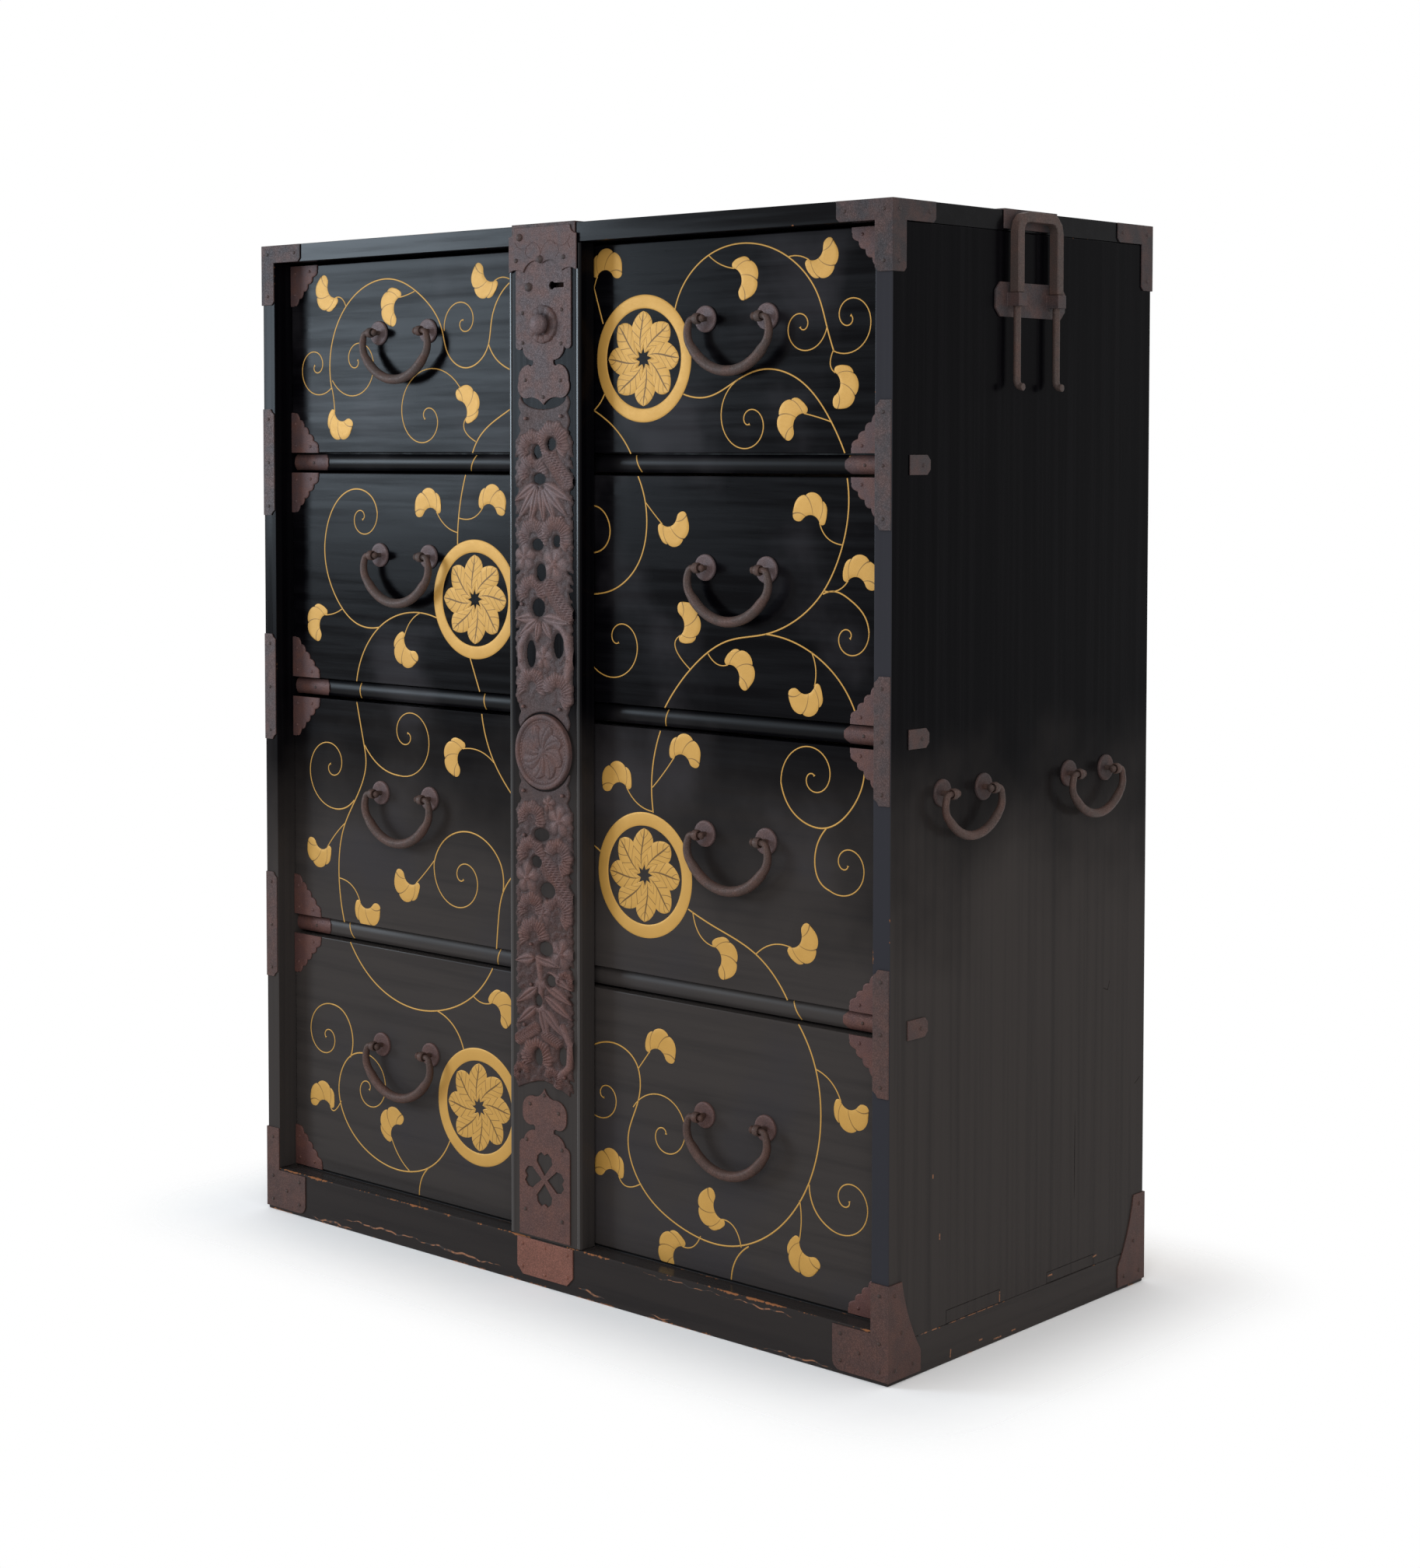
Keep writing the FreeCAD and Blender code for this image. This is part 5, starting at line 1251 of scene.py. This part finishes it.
lower_motifs = [
    blossom(8, 516, 10), bough(-18, 497, 22, 10), blossom(23, 499, 18, 10), bough(-18, 460, 22),
    bough(20, 459, 23, 45), blossom(-24, 435, 18), plume((5, 450), (32, 418), 24), bough(-18, 401, 21),
    bough(20, 402, 24, 30), blossom(0, 399, 12), bough(-15, 372, 24), blossom(26, 359, 18, 15),
    blade((-13, 351), (-42, 345), 14), blade((-12, 352), (26, 345), 14),
    stalk([(-8, 350), (-4, 325), (-5, 296)], 5), stalk([(-8, 324), (0, 324)], 6),
    stalk([(-9, 298), (-1, 298)], 6), bough(31, 330, 13), blade((6, 338), (43, 322), 12),
    blade((3, 324), (43, 307), 13), blade((2, 312), (43, 291), 13), blade((-9, 320), (-40, 300), 13),
    blade((-10, 300), (-39, 278), 13), blade((-4, 298), (8, 262), 15), blade((0, 298), (30, 272), 15),
    bough(-10, 243, 25), plume((-36, 262), (-12, 276), 15), plume((3, 270), (21, 264), 14),
    bough(13, 224, 15, 40), bough(-33, 226, 13, -30),
    stalk([(28, 282), (39, 264), (37, 242), (24, 230)], 5.5, 4.4),
]
lower_holes = [
    (-4, 482, 11, 6.5), (-11, 453, 7.5, 6), (5, 424, 11, 8), (2, 362, 9.5, 7.5), (10, 329, 6.5, 6),
    (-8, 306, 5, 6), (-8, 246, 6, 9), (27, 251, 5.5, 9.5),
]
lower_nails = [
    (-29, 527), (28, 526), (-28, 480), (26, 474), (30, 417), (-18, 365), (-18, 322), (-28, 278), (27, 284),
    (-29, 238), (31, 230),
]
carved_iron("lower_carved_iron", lower_motifs, lower_holes, lower_room, lower_nails, (216, 505))

# %% [markdown]
# ## Beads along the bar
# The bar's board is moulded: a thin bead runs along both of its front edges and catches the light. Each
# is a low rounded band, swept straight up the board.

# %% Bar beads
BEAD_WIDTH = 4.4
BEAD_INSET = 2.4
bar_low, bar_high = low_corner("bar_board"), high_corner("bar_board")
beads = []
for x in (bar_low[0] + BEAD_INSET, bar_high[0] - BEAD_INSET):
    line = np.linspace((x, bar_low[2] + 1), (x, bar_high[2] - 1), 40)
    beads.append(patch(band(line, BEAD_WIDTH, 0.5, BAR_FACE)))
make_painted("bar_beads", beads, lacquer("bar_board", UPRIGHT, 0.3, 0.3), "lock_bar")

# %% [markdown]
# ## Medallion, button and collar
# The round boss in the middle of the bar has a raised rim round a whorl of eight plain petals. It is a
# polar height field. The push button is a turned dome, and the collar round it is cut into twelve petals.


# %% Turned pieces of the bar
def polar_field(height, inner, outer, centre_z, back, sides, steps):
    """A height field in polar form: p = (r cos a, back - height(r, a), centre_z + r sin a)."""
    a = round_angles(sides)
    r = np.linspace(inner, outer, steps)
    return patch(as_points(r * np.cos(a), back - height(r, a), centre_z + r * np.sin(a)), loop_rows=True)


def medallion_height(r, a):
    """A rounded rim from 34 to 40, a ring of beads, and eight swept petals with a rib on a field 3 high."""
    rim = (r > 34) * (3 + 2 * dome((r - 37) / 3) ** 0.6)
    swept = a + 0.5 * (r / 34) ** 2
    petal = np.abs(np.cos(4 * swept))
    reach = 29.5 * (0.8 + 0.2 * petal)
    body = (r < reach) * (0.4 + 1.3 * dome(r / reach - 0.35) * petal ** 0.5)
    rib = (r < reach) * 0.5 * np.exp(-(np.sin(4 * swept) * r / 5) ** 2) * (petal > 0.5)
    heart = 1.8 * dome(r / 6)
    beads = (r > 31) * (r < 34) * 0.7 * dome((r - 32.5) / 1.4) * np.abs(np.cos(30 * a))
    whorl = (r <= 34) * (3 + np.maximum(np.maximum(body, beads) - rib, heart))
    edge = smooth_step(-r, -40, -39.4)
    return np.maximum(rim, whorl) * edge - 0.4 * (1 - edge)


def collar_height(r, a):
    """Twelve rounded petals between the button and the collar's rim, on a plate 1 high."""
    petal = np.abs(np.cos(6 * a))
    rim = 20 * (0.92 + 0.08 * petal ** 0.5)
    petals = 1.0 + 1.9 * dome((r - 15.4) / 5) * (0.45 + 0.55 * petal ** 0.4)
    return np.where(r < rim, petals, -0.3)


BUTTON_RADIUS = 10.5
quarter_turn = np.linspace(0, QUARTER, 14)
button_radii = np.concatenate([BUTTON_RADIUS * np.sin(quarter_turn), [BUTTON_RADIUS, 10.2, 5.0, 5.0]])
button_depths = np.concatenate([-7.8 - 5.9 * np.cos(quarter_turn), [-4.6, -4.3, -4.3, 8.0]])
button_points = turned_to(spun(button_radii, button_depths, 40), (0, PLATE_FACE, BUTTON_Z), 0)
button = patch(button_points, loop_rows=True)
medallion = polar_field(medallion_height, 0, 40, MEDALLION_Z, BAR_FACE, 240, 90)
collar = polar_field(collar_height, 10.9, 20, BUTTON_Z, PLATE_FACE, 180, 28)
make_piece("bar_medallion_chased", [medallion], BAR_IRON, "lock_bar", ["bar_medallion"],
           CARVED_SHARP)
make_piece("button_collar_petals", [collar], BAR_IRON, "lock_bar", ["button_collar"], CARVED_SHARP)
make_piece("lock_button_dome", [button], WASHER_IRON, "lock_button", ["lock_button"])

# %% [markdown]
# ## Studs and chased lines on the bar's plates
# The lock plate, head iron and foot iron keep their CAD outline. Studs hold them, and the head iron has a
# few chased scrolls, drawn as low bands on its face.

# %% Bar studs
HEAD_FACE = low_corner("head_iron")[1]
plate_nails = [(-30, 1029), (27, 1031), (-30, 998), (26, 996), (-26, 959), (25, 958), (0, 941),
               (0, 206), (-21, 194), (21, 190), (-26, 155), (26, 152), (-28, 80), (26, 76)]
bar_studs = front_nails(plate_nails, PLATE_FACE, 2.2, 1.3)
bar_studs += front_nails([(-21, 1056)], PLATE_FACE, 5.0, 3.2)
bar_studs += front_nails([(-33, 1108), (-3, 1084)], HEAD_FACE, 4.2, 3.0)
bar_studs += front_nails([(-38, 1084), (31, 1085)], HEAD_FACE, 2.6, 1.6)
make_piece("bar_studs", bar_studs, NAIL_IRON, "lock_bar")
scrolls = [
    [(-40, 1104), (-36, 1098), (-26, 1096), (-14, 1102), (-6, 1098), (-3, 1088)],
    [(-3, 1088), (2, 1098), (10, 1103), (22, 1098), (32, 1098), (40, 1106)],
    [(-22, 1098), (-24, 1090), (-18, 1086)],
    [(18, 1100), (24, 1092), (20, 1086)],
    [(36, 1101), (40, 1094)],
]
chased = [patch(band(smooth_line(line, 1.0), 1.2, 0.35, HEAD_FACE)) for line in scrolls]
make_piece("head_scrolls", chased, BAR_IRON, "lock_bar")
strike_spots = [(-33, 42), (33, 42), (-33, 18), (33, 18), (0, 43), (0, 14)]
strike_nails = front_nails(strike_spots, low_corner("foot_strike")[1], 2.2, 1.2)
make_piece("foot_strike_nails", strike_nails, RUSTED_PLATE, "case")

# %% [markdown]
# ## Vines
# The scroll runs over all four drawers as one drawing, so its lines meet across the rails. A vine is a
# smooth curve through a few given points, and a tendril is a spiral: from a point on the vine it winds into
# an eye while its radius falls as (1 - t)^1.6. Points are (x, z) in millimetres on the drawer face.

# %% Tendrils
RELIEF = 0.35
VINE_WIDTH = 1.6
TENDRIL_WIDTH = 1.3
TENDRIL_EYE = 2.7
TENDRIL_SHARES = np.linspace(0, 1, 72)
TENDRIL_WIDTHS = TENDRIL_WIDTH * (1 + 1.2 * smooth_step(TENDRIL_SHARES, 0.95, 0.99))


def tendril(start, eye, turns):
    """A spiral from start into an eye: r = 2.7 + (r0 - 2.7)(1 - t)^1.6, anticlockwise for positive turns."""
    x, z = np.array(start, float) - np.array(eye, float)
    radius = TENDRIL_EYE + (np.hypot(x, z) - TENDRIL_EYE) * (1 - TENDRIL_SHARES) ** 1.6
    around = np.arctan2(z, x) + 2 * np.pi * turns * TENDRIL_SHARES
    return np.stack([eye[0] + radius * np.cos(around), eye[1] + radius * np.sin(around)], axis=-1)


# Each tendril is a point on its vine, its eye and its turns.
TENDRILS = {
    1: [
        ((-363, 957), (-390, 981), -1.52), ((-362, 965), (-321, 986), 1.52),
        ((-177, 1016), (-147, 1024), -1.32), ((-140, 930), (-206, 922), 1.62),
        ((356, 1005), (325, 1006), -1.42), ((363, 981), (383, 1012), 1.5), ((245, 956), (258, 914), 1.52),
    ],
    2: [
        ((45, 662), (82, 690), 1.22), ((408, 712), (383, 707), -1.15), ((-287, 815), (-313, 810), -1.22),
    ],
    3: [
        ((300, 560), (340, 568), -1.42), ((361, 460), (381, 487), 1.32), ((-252, 522), (-239, 568), 1.52),
        ((-361, 475), (-367, 524), -1.47), ((-196, 430), (-151, 418), 1.42),
    ],
    4: [
        ((103, 206), (146, 185), -1.42), ((45, 190), (62, 212), 1.12), ((366, 128), (384, 160), 1.37),
        ((-368, 248), (-377, 210), 1.42), ((-309, 199), (-307, 160), -1.37),
    ],
}
print("tendrils:", sum(map(len, TENDRILS.values())))

# %% Vine lines
VINES = {
    1: [
        [(-363, 955), (-365, 995), (-355, 1025), (-325, 1059), (-263, 1076), (-213, 1055), (-181, 1018),
         (-172, 992), (-144, 975), (-110, 995), (-103, 1026), (-87, 1055), (-70, 1067), (-45, 1074),
         (0, 1078), (38, 1070), (51, 1045), (61, 1016)],
        [(-108, 1000), (-98, 985), (-73, 971), (-45, 964), (0, 951), (42, 930), (70, 914), (90, 896),
         (100, 882)],
        [(-12, 955), (-45, 945), (-74, 930), (-124, 898), (-133, 883)],
        [(160, 1026), (172, 1052), (206, 1080), (258, 1089), (306, 1074), (344, 1036), (356, 1003),
         (364, 981)],
        [(172, 942), (209, 940), (245, 956), (277, 965), (323, 953), (360, 915), (378, 883)],
        [(63, 944), (57, 935), (45, 925), (30, 919), (18, 924)],
    ],
    2: [
        [(110, 859), (122, 816), (111, 771), (70, 740), (45, 736), (0, 733), (-64, 722)],
        [(30, 808), (33, 822), (45, 828), (59, 824), (69, 811), (70, 797), (61, 784), (45, 779), (18, 776),
         (-5, 758), (-12, 733)],
        [(2, 733), (13, 705), (28, 682), (45, 662)],
        [(381, 859), (383, 840), (371, 782), (351, 748), (304, 713), (280, 705), (231, 696), (185, 668),
         (147, 624)],
        [(280, 705), (333, 692), (376, 660), (396, 624)],
        [(352, 747), (366, 750), (386, 742), (403, 727), (408, 712)],
        [(-144, 859), (-155, 814), (-157, 783)],
        [(-189, 701), (-227, 706), (-280, 690), (-313, 654), (-323, 624)],
        [(-284, 687), (-328, 692), (-364, 728), (-376, 762), (-372, 800), (-350, 832), (-320, 842),
         (-295, 832), (-287, 815)],
        [(-138, 660), (-123, 624)],
    ],
    3: [
        [(141, 600), (129, 550), (131, 515)],
        [(398, 600), (403, 581), (387, 541), (354, 520), (318, 530), (300, 560)],
        [(357, 520), (343, 492), (347, 470), (361, 460)],
        [(179, 421), (212, 408), (267, 387), (309, 346)],
        [(-323, 600), (-311, 552), (-308, 536), (-324, 492), (-347, 453), (-355, 399), (-346, 346)],
        [(-310, 552), (-280, 528), (-252, 522)],
        [(-328, 488), (-343, 478), (-361, 475)],
        [(-88, 408), (-92, 440), (-115, 462), (-147, 469), (-180, 456), (-196, 430)],
        [(2, 480), (-20, 471), (-45, 452), (-71, 430), (-88, 408), (-95, 378), (-98, 346)],
        [(-120, 600), (-103, 552), (-71, 513), (-45, 492), (0, 480), (45, 474), (58, 467)],
    ],
    4: [
        [(323, 324), (345, 282), (351, 247), (336, 168), (292, 112), (233, 86), (160, 96), (115, 125),
         (96, 174), (112, 221), (107, 253), (74, 269), (45, 262), (8, 235), (-28, 204), (-63, 185)],
        [(14, 239), (19, 218), (30, 202), (45, 190)],
        [(337, 168), (343, 146), (366, 128)],
        [(260, 91), (243, 74), (237, 53)],
        [(-336, 324), (-288, 279), (-222, 262), (-192, 265), (-135, 289), (-104, 324)],
        [(-192, 265), (-160, 246), (-150, 228)],
        [(-337, 191), (-333, 215), (-346, 240), (-368, 248)],
        [(-309, 199), (-340, 190), (-357, 154), (-342, 113), (-290, 80), (-252, 75), (-202, 89),
         (-172, 123)],
        [(-207, 86), (-219, 70), (-222, 53)],
    ],
}
print("vines:", sum(map(len, VINES.values())))

# %% [markdown]
# ## Leaves
# A leaf is a curled band round a hollow: smooth along the hollow, with three lobes on the outside and a
# round tip. Its two parameters are the share u round the hollow and the share v outwards. Each leaf is
# set by its place, the way its hollow faces, the sense from stem to tip, and the point where its stem
# leaves the vine.

# %% Leaf surface
HOLLOW = 12.5
LEAF_SWEEP = math.radians(123)


def leaf_width(u):
    """How far the band reaches outwards: 22.5 (0.25 + 0.75 sin(pi (0.08 + 0.72 u))), times three lobes.

    It is narrow at the stem, widest past its middle, and tapers to a round tip.
    """
    lobes = 0.88 + 0.12 * np.abs(np.sin(3 * np.pi * u)) ** 0.6
    return 22.5 * (0.25 + 0.75 * np.sin(np.pi * (0.08 + 0.72 * u))) * lobes


def leaf_and_stem(x, z, facing, sense, root, face, foot_edge):
    """The patches of a leaf and its stem; facing is in degrees from +x towards +z, sense is 1 or -1.

    The leaf is cut off at foot_edge, the level of the drawer's lower edge.

    Leaf: p = hollow centre + (hollow + v w(u)) (cos a, sin a), with a running from stem to tip. Both ends
    are rounded: a also grows with sqrt(1 - (2v - 1)^2) at the tip, and shrinks with v^3 at the stem's end.
    """
    look = math.radians(facing)
    centre = np.array([x, z]) + HOLLOW * np.array([math.cos(look), math.sin(look)])
    u = np.linspace(0, 1, 49)[:, None]
    v = np.linspace(0, 1, 11)
    tip = 0.32 * u ** 8 * dome(2 * v - 1)
    heel = 0.16 * (1 - u) ** 6 * (dome(2 * v - 1) - 1.2 * v ** 3)
    a = look + math.pi + sense * (LEAF_SWEEP * (u - 0.58) + tip - heel)
    r = HOLLOW + v * leaf_width(u)
    swell = RELIEF * 1.2 * (1 - np.abs(2 * v - 1) ** 8) * (1 - np.abs(2 * u - 1) ** 16)
    leaf_z = centre[1] + r * np.sin(a)
    leaf = as_points(centre[0] + r * np.cos(a), face - swell + SINK, np.maximum(leaf_z, foot_edge))
    foot = leaf[0, 0, [0, 2]]
    back = sense * np.array([math.sin(a[0, 0]), -math.cos(a[0, 0])])
    t = np.linspace(0, 1.04, 16)[:, None]
    knee = foot + back * 0.55 * np.linalg.norm(np.array(root) - foot)
    stem = (1 - t) ** 2 * np.array(root) + 2 * t * (1 - t) * knee + t ** 2 * foot
    made = patch(leaf, shown=leaf_z > foot_edge)
    return made if sense > 0 else flipped(made), patch(band(stem, TENDRIL_WIDTH, RELIEF, face))


LEAVES = {
    1: [
        (-368, 1065, 30, -1, (-338, 1048)), (-258, 1045, -10, 1, (-224, 1061)),
        (-112, 1070, 45, -1, (-72, 1066)), (-349, 919, 75, 1, (-363, 957)),
        (-144, 934, 215, 1, (-128, 895)), (66, 1071, 260, -1, (48, 1052)),
        (248, 1055, 190, -1, (206, 1079)), (347, 1072, 135, 1, (307, 1073)),
        (372, 947, 170, -1, (364, 982)), (316, 915, -30, 1, (361, 913)),
    ],
    2: [
        (157, 810, 120, 1, (121, 832)), (173, 711, 190, 1, (181, 665)), (244, 667, 215, -1, (205, 682)),
        (331, 649, 95, -1, (338, 690)), (336, 823, -90, 1, (375, 795)), (396, 764, -110, -1, (354, 750)),
        (-203, 822, -75, 1, (-157, 796)), (-104, 827, -110, -1, (-155, 812)),
        (-386, 688, -15, 1, (-346, 706)), (-239, 666, 50, 1, (-217, 706)),
    ],
    3: [
        (173, 577, -110, -1, (130, 541)), (81, 542, -75, 1, (131, 516)), (325, 405, 150, 1, (268, 386)),
        (223, 377, 190, -1, (185, 419)), (-388, 427, 70, -1, (-344, 460)), (-307, 366, 95, 1, (-355, 396)),
        (-239, 403, 60, -1, (-196, 432)), (-158, 550, -10, 1, (-101, 548)),
    ],
    4: [
        (140, 271, -110, -1, (110, 247)), (214, 120, 20, -1, (250, 88)), (70, 135, -80, 1, (113, 127)),
        (160, 66, -25, 1, (196, 89)), (331, 98, 60, 1, (325, 150)), (388, 250, 95, 1, (345, 283)),
        (-94, 280, 215, -1, (-134, 289)), (-385, 134, -80, 1, (-353, 138)),
        (-265, 123, -45, -1, (-238, 77)),
    ],
}
print("leaves:", sum(map(len, LEAVES.values())))

# %% [markdown]
# ## Roundels
# Four gold roundels sit on the scroll beside the bar. Each is a plain ring round a whorl of eight leaves,
# all alike, swept the same way. A leaf is a lens along a bent spine, and the fine ribs come from its UV
# map.

# %% Roundel surface
PETALS = 8
RING_RADII = np.array([51, 51.5, 53, 58, 63, 64.5, 65])
RING_RISE = np.array([0, 0.6, 1, 1, 1, 0.6, 0]) * 0.45
ROUNDELS = {1: (117.5, 979), 2: (-130, 724), 3: (119, 449.5), 4: (-125.5, 168)}


def roundel(x, z, face):
    """The ring's patch and the patches of eight swept leaves about (x, z).

    A leaf's spine runs outwards from 6 to 48.5 and bends by 0.5 (1 - t)^2. Across it, the half width is
    14.2 sin(pi t^1.35)^0.62, so each leaf is widest near the ring and almost meets its neighbours.
    """
    a = round_angles(128)
    ring = as_points(x + RING_RADII * np.cos(a), face - RING_RISE + SINK, z + RING_RADII * np.sin(a))
    t = np.linspace(0, 1, 30)[:, None]
    s = np.linspace(-1, 1, 11)
    out = 6 + 42.5 * t
    across = s * 14.2 * np.sin(np.pi * t ** 1.35) ** 0.62
    depth = face - 0.42 * (1 - s ** 8) + SINK
    leaves = []
    for i in range(PETALS):
        bend = 2 * np.pi * i / PETALS + 0.5 * (1 - t) ** 2
        leaf_x = x + out * np.cos(bend) - across * np.sin(bend)
        leaf_z = z + out * np.sin(bend) + across * np.cos(bend)
        leaves.append(flipped(patch(as_points(leaf_x, depth, leaf_z))))
    return patch(ring, loop_rows=True), leaves


# %% Gold on the drawers
LEAF_CLEAR = 0.8
for number in DRAWERS:
    body = f"drawer_{number}"
    foot_edge = low_corner(body + "_front")[2] + LEAF_CLEAR
    lines = [patch(band(smooth_line(line), VINE_WIDTH, RELIEF, DRAWER_FACE)) for line in VINES[number]]
    lines += [patch(band(tendril(*curl), TENDRIL_WIDTHS, RELIEF, DRAWER_FACE)) for curl in TENDRILS[number]]
    leaves = []
    for leaf in LEAVES[number]:
        blade_patch, stem_patch = leaf_and_stem(*leaf, DRAWER_FACE, foot_edge)
        leaves.append(blade_patch)
        lines.append(stem_patch)
    ring, petals = roundel(*ROUNDELS[number], DRAWER_FACE)
    make_painted(body + "_vines", lines + [ring], PLAIN_GOLD, body)
    make_painted(body + "_leaves", leaves, LEAF_GOLD, body)
    make_painted(body + "_whorl", petals, PETAL_GOLD, body)

# %% [markdown]
# ## Vines across the rails
# The rails between the drawers are crowned, and the vine is painted over them too. Its depth follows the
# crown: a circle of 15 mm radius, which rises 3 mm over the rail's 18 mm.

# %% Rail strokes
RAIL_CREST = low_corner("drawer_rails")[1]
CROWN_RADIUS = 15.0
STROKES = (
    ((-134, -143), (101, 109), (378.5, 380.5)),
    ((146, 142), (-323, -323), (-122.5, -120.5), (396.5, 397.5)),
    ((311, 321.5), (-345, -337), (-98.5, -103)),
)
shift = np.linspace(8.6, -8.6, 13)
crown = RAIL_CREST + CROWN_RADIUS - np.sqrt(CROWN_RADIUS ** 2 - shift ** 2)
rail_gold = []
for level, strokes in zip(RAIL_LEVELS, STROKES):
    for x_top, x_foot in strokes:
        line = np.stack([np.linspace(x_top, x_foot, len(shift)), level + 0.5 + shift], axis=-1)
        rail_gold.append(patch(band(line, VINE_WIDTH, RELIEF, crown)))
make_painted("rail_vines", rail_gold, PLAIN_GOLD, "case")

# %% [markdown]
# ## Floor, light and camera
# The chest stands on a pale floor under soft studio light: a cool lamp from the front left, which gives
# the lacquer its sheen, and a broad one from the front right. The world is white for the camera and for
# reflections, and dimmer as a light. The floor fades out with distance, so that no horizon shows.

# %% Floor
FLOOR_DULL = (0.92, 0.92, 0.92, 1)
FLOOR_PALE = (0.94, 0.94, 0.94, 1)
FLOOR_RADIUS = 3.0
FLOOR_FADE = 0.2
floor_a = round_angles(96)
floor_r = np.linspace(0, FLOOR_RADIUS, 25)
points, quads, _ = patch(as_points(floor_r * np.cos(floor_a), floor_r * np.sin(floor_a), 0), loop_rows=True)
floor_mesh = bpy.data.meshes.new("floor")
floor_mesh.from_pydata(points.tolist(), [], quads.tolist())
weld(floor_mesh)
floor = bpy.data.objects.new("floor", floor_mesh)
bpy.context.scene.collection.objects.link(floor)
floor_paint, tree, shader, place = new_material("pale_floor")
half_foot = (SIDE_FACE * MM, -CASE_FRONT * MM, 0)
outside = vectors(tree, "SUBTRACT", vectors(tree, "ABSOLUTE", place), half_foot)
outside = vectors(tree, "MAXIMUM", outside, (0, 0, 0))
distance = add_node(tree, "VectorMath", {"operation": "LENGTH"}, {0: outside}).outputs["Value"]
feed(tree, shader, {
    "Base Color": mix_colour(tree, noise(tree, place, 30.0, 3.0), FLOOR_DULL, FLOOR_PALE),
    "Roughness": 0.9,
    "Specular IOR Level": 0.1,
    "Alpha": ramp(tree, distance, 0.0, FLOOR_FADE, 1.0, 0.0),
})
floor_mesh.materials.append(floor_paint)
print("floor faces:", len(floor_mesh.polygons))


# %% Light
def soft_lamp(name, place, aim, size, power, colour):
    """A square area lamp at a place, turned to look at a point."""
    lamp = bpy.data.lights.new(name, "AREA")
    lamp.size = size
    lamp.energy = power
    lamp.color = colour
    item = bpy.data.objects.new(name, lamp)
    item.location = place
    x, y, z = np.array(place) - np.array(aim)
    item.rotation_euler = (math.atan2(math.hypot(x, y), z), 0, math.atan2(y, x) + QUARTER)
    bpy.context.scene.collection.objects.link(item)
    print(name, "of", power, "W")


soft_lamp("key_lamp", (-2.54, -2.24, 1.18), (0, 0, 0.8), 0.95, 59, (0.73, 0.87, 1.0))
soft_lamp("fill_lamp", (2.2, -2.75, 2.1), (0.1, 0, 0.6), 1.6, 40, (1.0, 0.98, 0.97))
world = bpy.data.worlds.new("studio")
bpy.context.scene.world = world
world.use_nodes = True
air = world.node_tree
ray = add_node(air, "LightPath").outputs
seen = maths(air, "MAXIMUM", ray["Is Camera Ray"], ray["Is Glossy Ray"])
seen = maths(air, "MAXIMUM", seen, ray["Is Transmission Ray"])
feed(air, air.nodes["Background"], {"Color": (1, 1, 1, 1), "Strength": ramp(air, seen, 0.0, 1.0, 0.8, 1.0)})

# %% Camera
camera_data = bpy.data.cameras.new("camera")
camera_data.lens = 62.17
camera_data.shift_x = 0.0435
camera_data.shift_y = -0.1318
camera = bpy.data.objects.new("camera", camera_data)
camera.location = (1.982, -2.243, 0.8855)
camera.rotation_euler = (math.radians(90 - 2.683), 0, math.radians(42.40))
bpy.context.scene.collection.objects.link(camera)
bpy.context.scene.camera = camera
bpy.context.scene.view_settings.view_transform = "Standard"
print("lens in mm:", round(camera_data.lens, 2))
